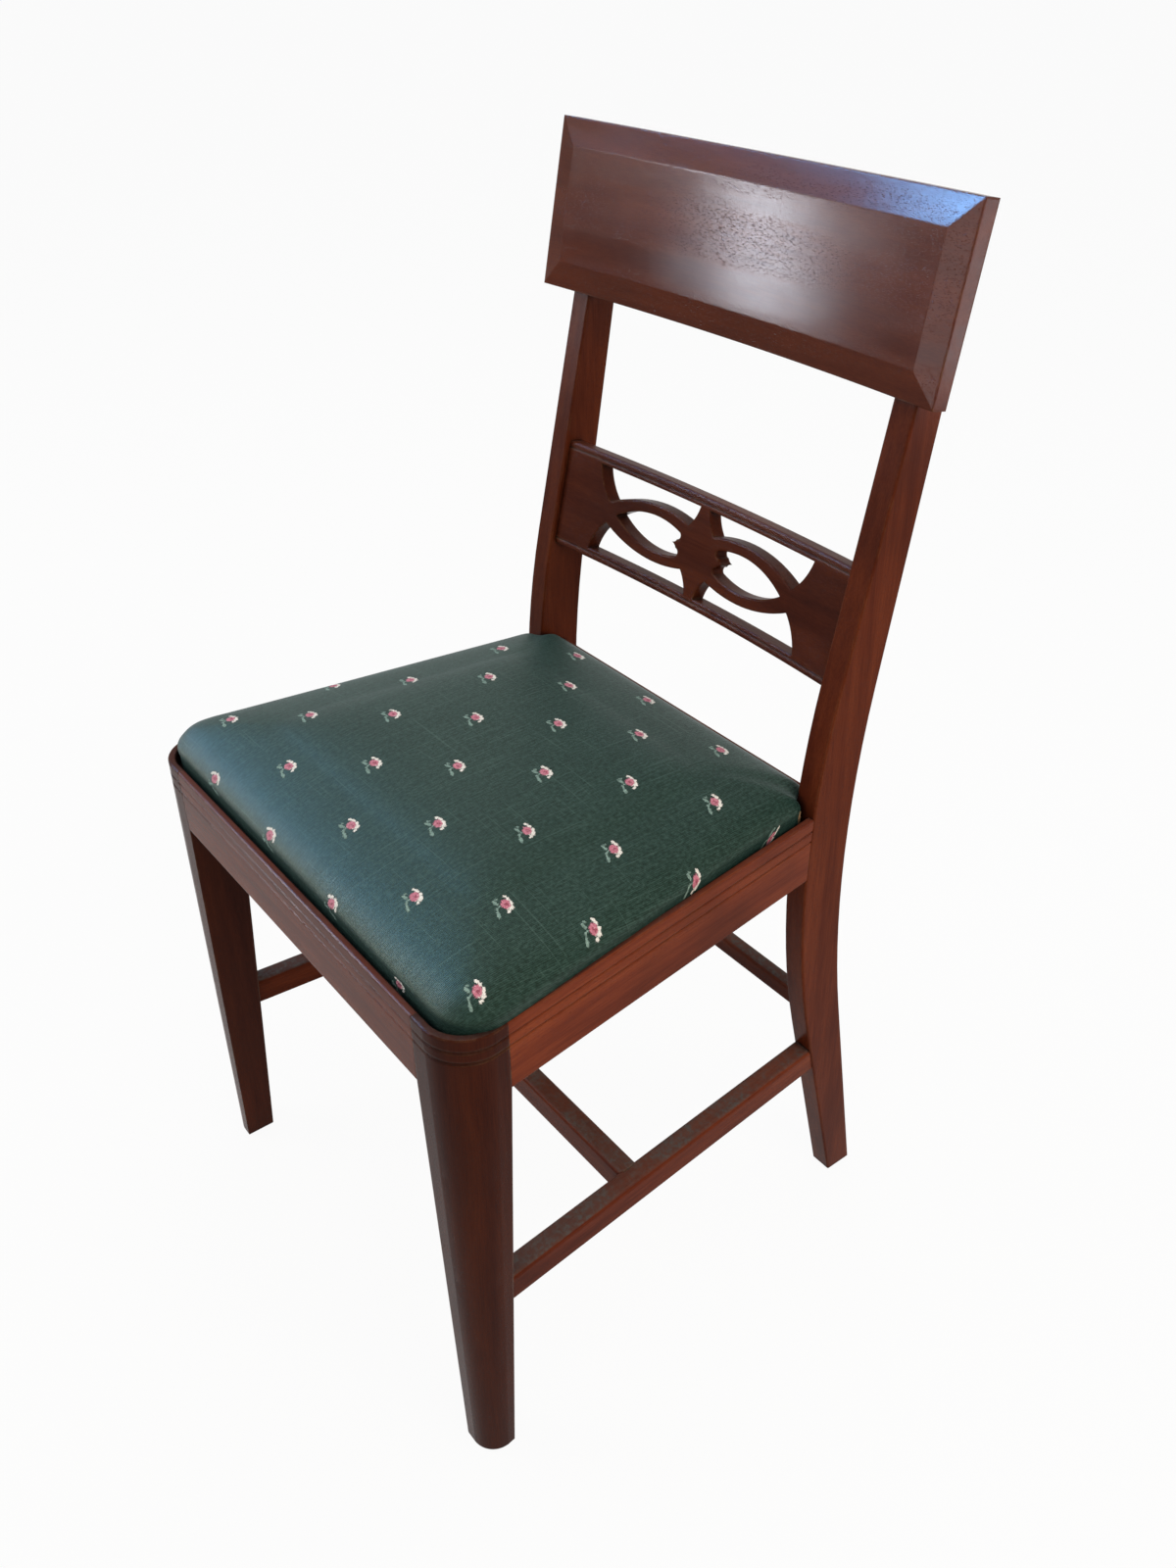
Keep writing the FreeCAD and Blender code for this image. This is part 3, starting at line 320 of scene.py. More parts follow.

# %% [markdown]
# ## Which board is which
#
# Boards of one chair are never quite alike. One table says how each part differs: the side rails
# are lighter and the front legs darker, partly in their own colour and partly as painted light and
# shade, as the side rails face the lamps and the front legs stand in shade. The stretchers are dusty,
# and the tablet at the top was rubbed smooth, so that it mirrors a window. The grain of the side
# parts leans with the seat's slant.

# %% The parts of mahogany
# The lightness numbers are partly each board's own colour and partly painted light and shade: the side
# rails are painted lighter where they face the lamps, and the front legs darker where they stand in
# shade.
BOARDS = {
    "crest_rail": dict(along="x", dust=0.15, ease=0.0022, gloss=0.10, shine=0.062, figured=0.60),
    "back_splat": dict(along="x", tone_and_painted_shading=0.70, dust=0.35, ease=0.0028),
    "front_seat_rail": dict(along="x", tone_and_painted_shading=1.20, shine=0.05),
    "rear_seat_rail": dict(along="x"),
    "cross_stretcher": dict(along="x", dust=1.5),
    "rear_stretcher": dict(along="x", dust=1.5),
    "side_seat_rail_left": dict(along="y", tone_and_painted_shading=1.40, shine=0.05, lean=-SIDE_SLOPE),
    "side_seat_rail_right": dict(along="y", tone_and_painted_shading=1.60, shine=0.035, lean=SIDE_SLOPE),
    "side_stretcher_left": dict(along="y", tone_and_painted_shading=0.95, dust=1.4, lean=-SIDE_SLOPE),
    "side_stretcher_right": dict(along="y", tone_and_painted_shading=1.20, dust=1.4, lean=SIDE_SLOPE),
    "front_leg_left": dict(along="z", tone_and_painted_shading=0.52, ease=0.0022, shine=0.045),
    "front_leg_right": dict(along="z", tone_and_painted_shading=0.44, ease=0.0022, shine=0.045),
    "rear_post_left": dict(along="z", tone_and_painted_shading=0.80),
    "rear_post_right": dict(along="z")}


def wear(node, finish):
    """Gives a CAD node one material in all of its slots."""
    mesh = nodes[node].data
    mesh.materials.clear()
    mesh.materials.append(finish)


for number, (node, ways) in enumerate(BOARDS.items(), 1):
    wear(node, mahogany(f"mahogany_{node}", shift=0.731 * number, **ways))
print("mahogany on", len(BOARDS), "parts")

# %% [markdown]
# ## The plain timbers and the seat's inside
#
# Turn the chair over and it is honest carpentry: beech corner blocks and a beech frame, unpolished
# and yellowed, jute webbing and hessian. They are seen only from below, but a shelf of parts is
# looked at from every side, so each gets the pattern of its own material: the short flecks of beech,
# and yarns that pass over and under each other. The weave is two sets of ridges, each on top by
# turns, which give the height of the yarns and so also their colour, painted darker in the gaps as
# shade.

# %% Beech, webbing, hessian
BEECH = [(0.30, (0.27, 0.15, 0.075)), (0.50, (0.40, 0.25, 0.135)), (0.70, (0.50, 0.33, 0.19))]


def beech(name, along, shift=0.0, stain=0.0):
    """Beech: pale, with fine darker flecks a few millimetres long, and darker in its corners, as dirt
    and as painted shade.
    """
    wood = Finish(name)
    place = board(wood, along, shift)
    rings = wood.noise(stretched(wood, *place, 2.0, 90.0), detail=3.0, rough=0.55)
    fibre = wood.noise(stretched(wood, *place, 50.0, 1300.0), detail=2.0)
    flecks = short_marks(wood, stretched(wood, *place, 260.0, 1100.0), 0.30, 0.12)
    colour = wood.ramp((rings * 0.7 + fibre * 0.3).held(), BEECH)
    colour = wood.blend(flecks * 0.5, colour, (0.19, 0.09, 0.045))
    if stain:
        colour = wood.blend(stain, colour, (0.10, 0.035, 0.018))
    # Ambient Occlusion darkens the corners: dirt, and painted shade where less light reaches.
    near = wood.node("ShaderNodeAmbientOcclusion", {"samples": 4}, {"Distance": 0.014}, "AO")
    colour = wood.blend(near.step(0.8, 0.3) * 0.6, colour, (0.055, 0.036, 0.024))
    eased = wood.node("ShaderNodeBevel", {"samples": 4}, {"Radius": 0.0012})
    normal = wood.bump(fibre - flecks * 0.4, 0.00025, eased)
    return wood.done(colour, (0.62 + fibre * 0.16).held(), normal, IOR=1.45)


def yarns(name, pitch, light, dark):
    """A plain weave: yarns of one pitch in metres along x and y, over and under by turns, painted darker
    in the gaps between them as shade.
    """
    cloth = Finish(name)
    x, y, _ = cloth.split(cloth.place())
    wobble = cloth.noise(cloth.place(), 120.0, 2.0) * 0.25
    across, along = x / pitch + wobble, y / pitch + wobble
    over = (across.whole() + along.whole()).odd()
    warp = 1.0 - (across - across.whole()).size() * 2.0
    weft = 1.0 - (along - along.whole()).size() * 2.0
    height = over * warp + (1.0 - over) * weft
    hair = cloth.noise(cloth.place(), 900.0, 4.0, 0.7)
    # Lighter where a yarn stands high, darker in the gaps: a painted shade.
    colour = cloth.blend((height * 0.7 + hair * 0.5).held(), dark, light)
    return cloth.done(colour, 0.9, cloth.bump(height + hair * 0.4, 0.0004), IOR=1.4)


BEECH_PARTS = {"seat_frame_front": "x", "seat_frame_rear": "x", "seat_frame_left": "y",
               "seat_frame_right": "y"}
BEECH_PARTS |= {f"corner_block_{end}_{side}": "x"
                for end in ("front", "rear") for side in ("left", "right")}
for number, (node, along) in enumerate(BEECH_PARTS.items(), len(BOARDS) + 1):
    wear(node, beech(f"beech_{node}", along, shift=0.53 * number, stain=0.35 * ("block" in node)))
wear("crest_dowels", beech("beech_dowels", "y", stain=0.5))
wear("seat_webbing", yarns("jute_webbing", 0.0024, (0.36, 0.25, 0.13), (0.10, 0.062, 0.03)))
wear("seat_hessian", yarns("hessian", 0.0017, (0.42, 0.31, 0.18), (0.14, 0.095, 0.05)))
print("beech on", len(BEECH_PARTS) + 1, "parts, yarns on the webbing and the hessian")

# %% [markdown]
# ## The seat cushion
#
# The seat is a wooden frame with a flat pad of stuffing under tight cloth. The cloth goes down the
# frame's sides and is tacked underneath. From above it is one crowned form, highest in the middle,
# rounded at its rim, with soft rounded front corners and notches at the back for the two posts.
#
# A cube with a subdivision modifier would do for a far view, but its corners and notches would be
# wrong. So the form is worked out: a plan outline that can be drawn in or out, a profile that
# gives the height for each distance from the rim, and rings that follow both. The inner part is a
# grid of squares, so that no fan of thin triangles meets in the middle, where cloth would crease.

# %% The outline of the seat in plan
FRONT = -0.224                     # y of the chair's front face, from which depths are measured
HALF_WIDTH = 0.221                 # half of the chair's width at the front
CORNER_RUN = 0.036                 # how far a rounded front corner reaches
LIP_AND_GAP = 0.0095               # from the chair's outside to the cushion
NOTCH, BACK = 0.3395, 0.356        # depth at the posts, and between them
TONGUE = 0.158                     # half of the width between the posts
TURN = math.radians(90) - math.atan(SIDE_SLOPE)      # how far a front corner turns
SIDE_COS = math.cos(math.atan(SIDE_SLOPE))


def seat_corners(inset):
    """The corners of the right half outline, drawn in by inset, as (x, depth) rows.

    The front corner is an arc that starts on the front line and turns until it runs along the
    slanted side: its centre is one radius behind the front line, and its points are centre plus
    radius times (sine, minus cosine) of the angle turned.
    """
    away = LIP_AND_GAP + inset
    run = CORNER_RUN + 1.2 * inset
    radius = run / math.tan(TURN / 2) - away
    angle = np.linspace(0, TURN, 17)
    arc = np.stack([HALF_WIDTH - run + radius * np.sin(angle), away + radius * (1 - np.cos(angle))], 1)
    side = HALF_WIDTH - SIDE_SLOPE * (NOTCH - inset) - away / SIDE_COS
    rear = np.array([[side, NOTCH - inset], [TONGUE - inset, NOTCH - inset],
                     [TONGUE - inset, BACK - inset]])
    return arc, rear


def spread(points, count):
    """count steps of equal length along a line of points, its end left out."""
    walked = np.concatenate([[0], np.cumsum(np.linalg.norm(np.diff(points, axis=0), axis=1))])
    marks = np.linspace(0, walked[-1], count + 1)[:-1]
    return np.stack([np.interp(marks, walked, points[:, i]) for i in range(2)], 1)


ACROSS, ALONG = 76, 58             # squares of the cushion's grid, across and front to back
RIM = 2 * (ACROSS + ALONG)


def seat_ring(inset, soften=2):
    """The outline as a ring of RIM points: front, right side, back, left side.

    The two front corners are cut at the middle of their arcs. The ring is then softened: each
    point moves to the mean of itself and its neighbours, which rounds the notches as cloth does.
    """
    arc, rear = seat_corners(inset)
    middle = len(arc) // 2
    flip = np.array([-1, 1])
    front = np.concatenate([(arc[:middle + 1] * flip)[::-1], arc[:middle + 1]])
    right = np.concatenate([arc[middle:], rear[:1]])
    back = np.concatenate([rear, (rear * flip)[::-1]])
    left = (right * flip)[::-1]
    ring = np.concatenate([spread(front, ACROSS), spread(right, ALONG), spread(back, ACROSS),
                           spread(left, ALONG)])
    for _ in range(soften):
        ring = (np.roll(ring, 1, 0) + 2 * ring + np.roll(ring, -1, 0)) / 4
    return ring


print("rim of the seat:", RIM, "points")


# %% [markdown]
# ## Rings and the grid between them
#
# Outside, the rings step down: from the shoulder, where the pad stands a little over its frame,
# down the frame's side, round its lower edge and under it to the cloth's raw edge. There the form
# turns back on itself, one cloth thickness inside, and closes under the stuffing. Every vertex
# also gets a place in the flat cloth before it was stretched over the pad, as a UV map in metres,
# because the woven pattern goes over the rim without being squashed there.

# %% Heights, distances and the flat cloth
CROWN = [(0.0, 0.4390), (0.0012, 0.4414), (0.0030, 0.4434), (0.0060, 0.4460), (0.0100, 0.4486),
         (0.0240, 0.4546), (0.0480, 0.4602), (0.0800, 0.4645), (0.1250, 0.4670), (0.2000, 0.4674)]
SHOULDER = [(0.0012, 0.4414), (-0.0002, 0.4394), (-0.0008, 0.4370), (-0.0006, 0.4345), (0.0, 0.4315),
            (0.0, 0.4280), (0.0, 0.4240), (0.0001, 0.4210), (0.0006, 0.4193), (0.0020, 0.4182),
            (0.0050, 0.4180), (0.0100, 0.4180), (0.0160, 0.4180), (0.0215, 0.4180), (0.0220, 0.4184)]
INSIDE = [(0.0220, 0.4189), (0.0150, 0.4191), (0.0050, 0.4191), (0.0016, 0.4194), (0.0011, 0.4215),
          (0.0011, 0.4290), (0.0011, 0.4345), (0.0016, 0.4371), (0.0100, 0.4371)]
RIM_START = 0.0030                 # where the rings of the top end and those of the shoulder start
LINING = 0.4371                    # height of the face that closes the form inside
SHARES = [0.11, 0.23, 0.35, 0.47, 0.58, 0.68, 0.77, 0.84, 0.89, 0.93, 0.96, 1.0]
HELD_BELOW, FREE_ABOVE, HOLD_FADE = 0.4380, 0.4450, 0.007


def smooth_curve(knots, at):
    """A smooth line through knots: cubic Hermite pieces with the slopes of the chords beside."""
    x, y = np.array(knots).T
    chord = np.diff(y) / np.diff(x)
    slope = np.concatenate([[chord[0]], (chord[1:] + chord[:-1]) / 2, [chord[-1]]])
    i = np.clip(np.searchsorted(x, at) - 1, 0, len(x) - 2)
    wide = x[i + 1] - x[i]
    t = np.clip((at - x[i]) / wide, 0, 1)
    return ((2 * t**3 - 3 * t**2 + 1) * y[i] + (t**3 - 2 * t**2 + t) * wide * slope[i]
            + (3 * t**2 - 2 * t**3) * y[i + 1] + (t**3 - t**2) * wide * slope[i + 1])


def slack(at):
    """How much longer the cloth is than its plan, from the crown out to a distance from the rim.

    The length of the profile is the sum of sqrt(1 + slope^2) over small steps.
    """
    steps = np.linspace(0.2, 0.0, 2001)
    rise = np.gradient(smooth_curve(CROWN, steps), steps)
    extra = np.cumsum(np.sqrt(1 + rise * rise) - 1) * 0.0001
    return np.interp(at, steps[::-1], extra[::-1])


def relaxed(heights, faces, freedom, rounds=70):
    """Heights smoothed over the mesh: each moves towards the mean of its neighbours, as far as its
    freedom (0 to 1) lets it. Stuffing does the same to the ridges that a plain formula leaves."""
    pairs = np.concatenate([faces[:, [i, (i + 1) % 4]] for i in range(4)])
    pairs = np.unique(np.sort(pairs, axis=1), axis=0)
    start, end = pairs.T
    count = np.bincount(start, minlength=len(heights)) + np.bincount(end, minlength=len(heights))
    for _ in range(rounds):
        near = (np.bincount(start, heights[end], len(heights))
                + np.bincount(end, heights[start], len(heights)))
        heights = heights + freedom * 0.6 * (near / np.maximum(count, 1) - heights)
    return heights


def from_rim(points, rim):
    """The distance of every point from the closed line rim: the least over its segments."""
    start, run = rim, np.roll(rim, -1, 0) - rim
    offset = points[:, None, :] - start[None]
    share = np.clip((offset * run).sum(2) / (run * run).sum(1), 0, 1)
    return np.linalg.norm(offset - share[..., None] * run, axis=2).min(1)


def patch(ring):
    """The grid inside a ring, by the Coons formula: the mean of the two ruled surfaces between
    opposite sides, less the surface through the four corners."""
    front, right = ring[:ACROSS + 1], ring[ACROSS:ACROSS + ALONG + 1]
    back = ring[ACROSS + ALONG:2 * ACROSS + ALONG + 1][::-1]
    left = np.concatenate([ring[2 * ACROSS + ALONG:], ring[:1]])[::-1]
    u = np.linspace(0, 1, ACROSS + 1)[None, :, None]
    v = np.linspace(0, 1, ALONG + 1)[:, None, None]
    rows = (1 - v) * front[None] + v * back[None]
    columns = (1 - u) * left[:, None] + u * right[:, None]
    corners = ((1 - u) * (1 - v) * front[0] + u * (1 - v) * front[-1]
               + (1 - u) * v * back[0] + u * v * back[-1])
    return rows + columns - corners


def inner_ring():
    """A plain four-sided ring well inside the rim, with the notches gone."""
    half_front, half_back, near, far = 0.148, 0.122, 0.070, 0.292
    corners = np.array([[-half_front, near], [half_front, near], [half_back, far], [-half_back, far]])
    sides = [ACROSS, ALONG, ACROSS, ALONG]
    return np.concatenate([spread(corners[[i, (i + 1) % 4]], sides[i]) for i in range(4)])


def around(first, second):
    """Faces between two rings of vertex numbers, the first one inside or above."""
    return np.stack([first, second, np.roll(second, -1), np.roll(first, -1)], 1)


def grid_faces(numbers):
    """The squares of a grid of vertex numbers."""
    return np.stack([numbers[:-1, :-1], numbers[:-1, 1:], numbers[1:, 1:], numbers[1:, :-1]],
                    -1).reshape(-1, 4)


def ring_of(numbers):
    """The border of a grid of vertex numbers, in the order of seat_ring."""
    return np.concatenate([numbers[0, :-1], numbers[:-1, -1], numbers[-1, :0:-1], numbers[:0:-1, 0]])


print("slack of the cloth at the rim:", round(float(slack(0.0)) * 1000, 1), "mm")

# %% [markdown]
# ## Putting the form together
#
# The pieces of the last cells meet here: the grid in the middle, the rings round it, and the
# lining inside. Each vertex also gets a number that says how firmly the frame holds it: 1 where
# the cloth lies against wood, and less over the shoulder, down to 0 on the free top.

# %% The whole form, and which of its points the frame holds
def cushion_form():
    """Vertices, faces, flat-cloth places and how firmly each vertex is held, 0 to 1."""
    rim = seat_ring(0)
    inner = inner_ring()
    points, flat, held, faces = [], [], [], []
    inside = patch(inner)
    count = (ACROSS + 1) * (ALONG + 1)
    numbers = np.arange(count).reshape(ALONG + 1, ACROSS + 1)
    plan = inside.reshape(-1, 2)
    points.append(np.column_stack([plan, smooth_curve(CROWN, from_rim(plan, rim))]))
    flat.append(plan)
    held.append(np.zeros(count))
    faces.append(grid_faces(numbers))
    last, total = ring_of(numbers), count

    # Rings from the grid out to the shoulder, closer together as the pad turns down
    for share in SHARES:
        plan = inner * (1 - share) + seat_ring(RIM_START) * share
        away = from_rim(plan, rim)
        points.append(np.column_stack([plan, smooth_curve(CROWN, away)]))
        outwards = seat_ring(-0.010) - seat_ring(0.010)
        outwards /= np.linalg.norm(outwards, axis=1)[:, None]
        flat.append(plan + outwards * slack(away)[:, None])
        held.append(np.zeros(RIM))
        ring = total + np.arange(RIM)
        faces.append(around(last, ring))
        last, total = ring, total + RIM

    # Rings of the shoulder, the side and the underside, then back inside
    top = total
    before = (RIM_START, float(smooth_curve(CROWN, RIM_START)))
    length = float(slack(RIM_START)) - RIM_START
    for inset, height in SHOULDER + INSIDE:
        length += math.hypot(inset - before[0], height - before[1])
        before = (inset, height)
        plan = seat_ring(inset)
        points.append(np.column_stack([plan, np.full(RIM, height)]))
        flat.append(seat_ring(-length))
        held.append(np.full(RIM, 1.0 if height < HELD_BELOW else (FREE_ABOVE - height) / HOLD_FADE))
        ring = total + np.arange(RIM)
        faces.append(around(last, ring))
        last, total = ring, total + RIM
    plan = patch(seat_ring(0.0180)).reshape(-1, 2)
    points.append(np.column_stack([plan, np.full(count, LINING)]))
    flat.append(plan)
    held.append(np.ones(count))
    numbers = total + numbers
    faces.append(around(last, ring_of(numbers)))
    faces.append(grid_faces(numbers)[:, ::-1])
    points, faces = np.concatenate(points), np.concatenate(faces)
    free = np.zeros(len(points))
    free[:top] = np.clip((from_rim(points[:top, :2], rim) - 0.008) / 0.030, 0, 1)
    points[:, 2] = relaxed(points[:, 2], faces, free)
    points[:, 1] += FRONT
    return points, faces, np.concatenate(flat), np.clip(np.concatenate(held), 0, 1)


def new_piece(name, points, faces, finish=None):
    """An object at the origin from points and lists of their numbers, riding on the one body."""
    mesh = bpy.data.meshes.new(name)
    mesh.from_pydata(points.tolist(), [], faces)
    mesh.update()
    mesh.polygons.foreach_set("use_smooth", np.ones(len(faces), bool))
    if finish:
        mesh.materials.append(finish)
    piece = bpy.data.objects.new(name, mesh)
    bpy.context.scene.collection.objects.link(piece)
    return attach(piece, "root")


points, faces, flat, held = cushion_form()
cushion = new_piece("seat_cushion", points, faces.tolist())
loops = np.empty(len(cushion.data.loops), dtype=np.int32)
cushion.data.loops.foreach_get("vertex_index", loops)
cushion.data.uv_layers.new(name="flat_cloth").data.foreach_set("uv", flat[loops].ravel())
print("cushion:", len(points), "points,", len(faces), "squares, top at",
      round(float(points[:, 2].max()), 4))

# %% [markdown]
# ## Letting the stuffing push
#
# A worked-out form is too even. The cloth solver helps: the stuffing is a gentle pressure from
# inside, the cloth's edge is pinned to the frame, and twenty frames let the top find its own
# shape. Then the result is read back into the mesh, no point having moved more than about two
# millimetres. Left like that, the cap draws creases from the corners to the middle, so the moves
# are smoothed over the mesh as well. One subdivision smooths the whole.

# %% Cloth under pressure
def settle(piece, start, faces, firmly, most=0.0018, frames=20):
    """Runs the cloth solver with pressure, and caps how far any point has gone from its start.

    The way that each point went is then smoothed over its neighbours, as stuffing under cloth
    spreads a push, so that no crease is left where the cap took hold.
    """
    group = piece.vertex_groups.new(name="held")
    for weight in np.unique(firmly.round(2)):
        if weight > 0:
            group.add(np.nonzero(firmly.round(2) == weight)[0].tolist(), float(weight), "REPLACE")
    cloth = piece.modifiers.new("stuffing", "CLOTH")
    rules = cloth.settings
    rules.quality = 6
    rules.mass = 0.3
    rules.use_pressure = True
    rules.uniform_pressure_force = 4.0
    rules.vertex_group_mass = "held"
    rules.tension_stiffness = rules.compression_stiffness = 22.0
    rules.bending_stiffness = 1.2
    rules.effector_weights.gravity = 0.0
    cloth.collision_settings.use_collision = False
    cloth.point_cache.frame_start, cloth.point_cache.frame_end = 1, frames
    for step in range(1, frames + 1):
        bpy.context.scene.frame_set(step)
    graph = bpy.context.evaluated_depsgraph_get()
    shaped = piece.evaluated_get(graph).to_mesh()
    moved = np.empty(len(start) * 3)
    shaped.vertices.foreach_get("co", moved)
    moved = moved.reshape(-1, 3) - start
    piece.evaluated_get(graph).to_mesh_clear()
    piece.modifiers.remove(cloth)
    piece.vertex_groups.clear()
    bpy.context.scene.frame_set(1)
    far = np.linalg.norm(moved, axis=1)
    kept = np.where(far > most, most * np.tanh(far / most) / np.maximum(far, 1e-9), 1.0)
    moved *= kept[:, None] * (1 - firmly)[:, None]
    moved = np.stack([relaxed(moved[:, i], faces, 1 - firmly, 160) for i in range(3)], 1)
    piece.data.vertices.foreach_set("co", (start + moved).ravel())
    piece.data.update()
    print("the stuffing moved the cloth by up to", round(float(far.max()) * 1000, 2), "mm, mean",
          round(float(far.mean()) * 1000, 2), "mm")


settle(cushion, points, faces, held)
finer = cushion.modifiers.new("finer", "SUBSURF")
finer.levels = finer.render_levels = 1
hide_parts("seat_cover", "seat_padding")
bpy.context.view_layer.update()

# %% [markdown]
# ## The seat cloth: a green rib with rosebuds
#
# The cloth is a dark green silky rib, with fine cross ribs, a few thick and thin threads that show
# as faint lines, and a small rosebud sprig woven in at even distances, in rows that are shifted by
# half a step. Sprigs like this are a common pattern on furnishing cloth. It could be painted as an
# image, but then it blurs close up. Here each sprig is a few ellipses in the flat cloth's own
# coordinates: a pink heart, a curl of cream petals, a stem and two leaves in pale green. Their
# threads stand a little above the ground, and two noises fray their edges.

# %% The cloth
def leaf(x, y, middle, size, turn):
    """1 inside an ellipse with its middle and half sizes in millimetres, turned by degrees."""
    c, s = math.cos(math.radians(turn)), math.sin(math.radians(turn))
    along = ((x - middle[0]) * c + (y - middle[1]) * s) / size[0]
    across = ((y - middle[1]) * c - (x - middle[0]) * s) / size[1]
    return (along * along + across * across).step(1.25, 0.75)


FIRST_ROW, ROW_STEP, FALL = 54.07, 46.48, 0.0524               # millimetres of flat cloth
FIRST_COLUMN, COLUMN_STEP, LEAN = 9.97, 95.14, 1.6
SPRIG = 0.84                                                   # size of a sprig


def seat_cloth():
    cloth = Finish("green_rib_with_rosebuds")
    flat = cloth.node("ShaderNodeUVMap", {"uv_map": "flat_cloth"})
    u, v, _ = cloth.split(flat)
    u, v = u * 1000.0, v * 1000.0

    # Rows stand 46 mm apart and bow a little, as the cloth was pulled harder at its sides;
    # columns stand 95 mm apart, shifted by half of that in odd rows, and lean slightly
    right, left = ((u - 50.0) / 45.0).most(0.0), ((50.0 - u) / 68.0).most(0.0)
    level = v + u * FALL + right * right + left * left - FIRST_ROW
    row = (level / ROW_STEP).whole()
    start = FIRST_COLUMN + COLUMN_STEP / 2 * row.odd() - LEAN * row
    column = ((u - start) / COLUMN_STEP).whole()
    wander = cloth.noise(cloth.joined(column * 7.3, row * 3.7), 1.0, 0.0) - 0.5
    x = (u - start - column * COLUMN_STEP + wander * 4.0) / SPRIG
    y = (level - row * ROW_STEP + wander * 3.0) / SPRIG
    ragged = cloth.noise(cloth.joined(u * 0.50, v * 0.70), 1.0, 3.0, 0.7)
    frayed = cloth.noise(cloth.joined(u * 0.70 + 40.0, v * 0.50), 1.0, 3.0, 0.7)
    x, y = x + (ragged - 0.5) * 5.5, y + (frayed - 0.5) * 4.5

    petals = leaf(x, y, (-6.6, 3.4), (2.1, 1.5), 30)
    for middle, size, turn in [((-3.0, 4.6), (2.3, 1.6), 10), ((1.9, 5.0), (2.3, 1.7), -15),
                               ((5.9, 3.0), (2.7, 2.2), -35), ((8.6, -0.6), (2.1, 1.5), -70),
                               ((4.9, -0.6), (1.5, 1.1), 40)]:
        petals = petals.most(leaf(x, y, middle, size, turn))
    heart = leaf(x, y, (0.4, 0.2), (5.0, 4.1), -12)
    eye = leaf(x, y, (0.9, 0.6), (2.1, 1.5), 20)
    green = leaf(x, y, (-4.6, -6.4), (3.6, 1.5), 18)
    for middle, size, turn in [((0.6, -6.6), (0.8, 3.4), 12), ((3.0, -8.6), (3.2, 0.9), -30),
                               ((7.6, -9.9), (3.9, 1.6), -14), ((-7.6, -4.4), (1.6, 1.1), 60)]:
        green = green.most(leaf(x, y, middle, size, turn))
    sprig = petals.most(heart).most(green)

    # The ground: fine ribs along the depth, thick and thin threads, a slight cloudiness
    rib = ((u + v * 0.05) * (2 * math.pi / 1.25)).wave() * 0.5 + 0.5
    weft = (v * (2 * math.pi / 0.62)).wave() * 0.5 + 0.5
    slub = cloth.noise(cloth.joined(u * 0.85 + v * 0.045, v * 0.022), 1.0, 3.0, 0.6)
    cross = cloth.noise(cloth.joined(u * 0.016, v * 0.55 - u * 0.03), 1.0, 2.0, 0.6)
    cloudy = cloth.noise(cloth.joined(u * 0.012, v * 0.012), 1.0, 2.0)
    grain = cloth.noise(cloth.joined(u * 0.55, v * 0.26), 1.0, 3.0, 0.65)
    thread = (0.5 + (slub - 0.5) * 0.7 + (grain - 0.5) * 1.4 + (rib - 0.5) * 0.2
              + (cloudy - 0.5) * 0.2).held()
    ground = cloth.ramp(thread, [(0.25, (0.005, 0.016, 0.012)), (0.50, (0.012, 0.032, 0.026)),
                                 (0.75, (0.028, 0.058, 0.048))])
    ground = cloth.blend(cross.step(0.62, 0.80) * 0.35, ground, (0.060, 0.115, 0.095))
    strays = cloth.noise(cloth.joined(u * 0.55, v * 0.009), 1.0, 1.0).step(0.66, 0.72)
    strays = strays.most(cloth.noise(cloth.joined(u * 0.009 + 9.0, v * 0.55), 1.0, 1.0).step(0.67, 0.73))
    ground = cloth.blend(strays * 0.30, ground, (0.070, 0.125, 0.105))
    stitch = (v * 5.2 + u * 2.0).wave() * 0.5 + 0.5
    pink = cloth.blend(eye, (0.54, 0.155, 0.22), (0.30, 0.050, 0.085))
    pink = cloth.blend(frayed.step(0.50, 0.64) * 0.6, pink, (0.76, 0.40, 0.48))
    colour = cloth.blend(green * (0.55 + 0.45 * ragged.step(0.42, 0.58)), ground, (0.25, 0.37, 0.32))
    colour = cloth.blend(petals, colour, (0.84, 0.80, 0.74))
    colour = cloth.blend(heart, colour, pink)
    colour = cloth.blend(sprig * stitch * 0.22, colour, (0.10, 0.10, 0.08))
    rough = 0.40 + sprig * 0.25 + (1.0 - slub) * 0.08
    height = rib * 0.25 + weft * 0.12 + slub * 0.3 + cross * 0.2 + sprig * (1.6 + stitch * 0.5)
    return cloth.done(colour, rough.held(), cloth.bump(height, 0.00035),
                      IOR=1.5, Specular_IOR_Level=0.14, Specular_Tint=(0.94, 0.96, 0.62, 1.0),
                      Sheen_Weight=0.04, Sheen_Roughness=0.35, Sheen_Tint=(0.45, 0.80, 0.92, 1.0))


cushion.data.materials.append(seat_cloth())
print("cloth on the cushion")

# %% [markdown]
# ## Tacks and screws
#
# Under the frame the cloth's raw edge is tacked down every three centimetres, and screws hold the
# corner blocks and the seat. They are too small to be CAD parts. Each is a profile turned round
# an axis: a tack is a low dome, and a screw a shallow one. One turned shape is worked
# out once and copied by adding an array of places, which is much lighter than sixty objects.

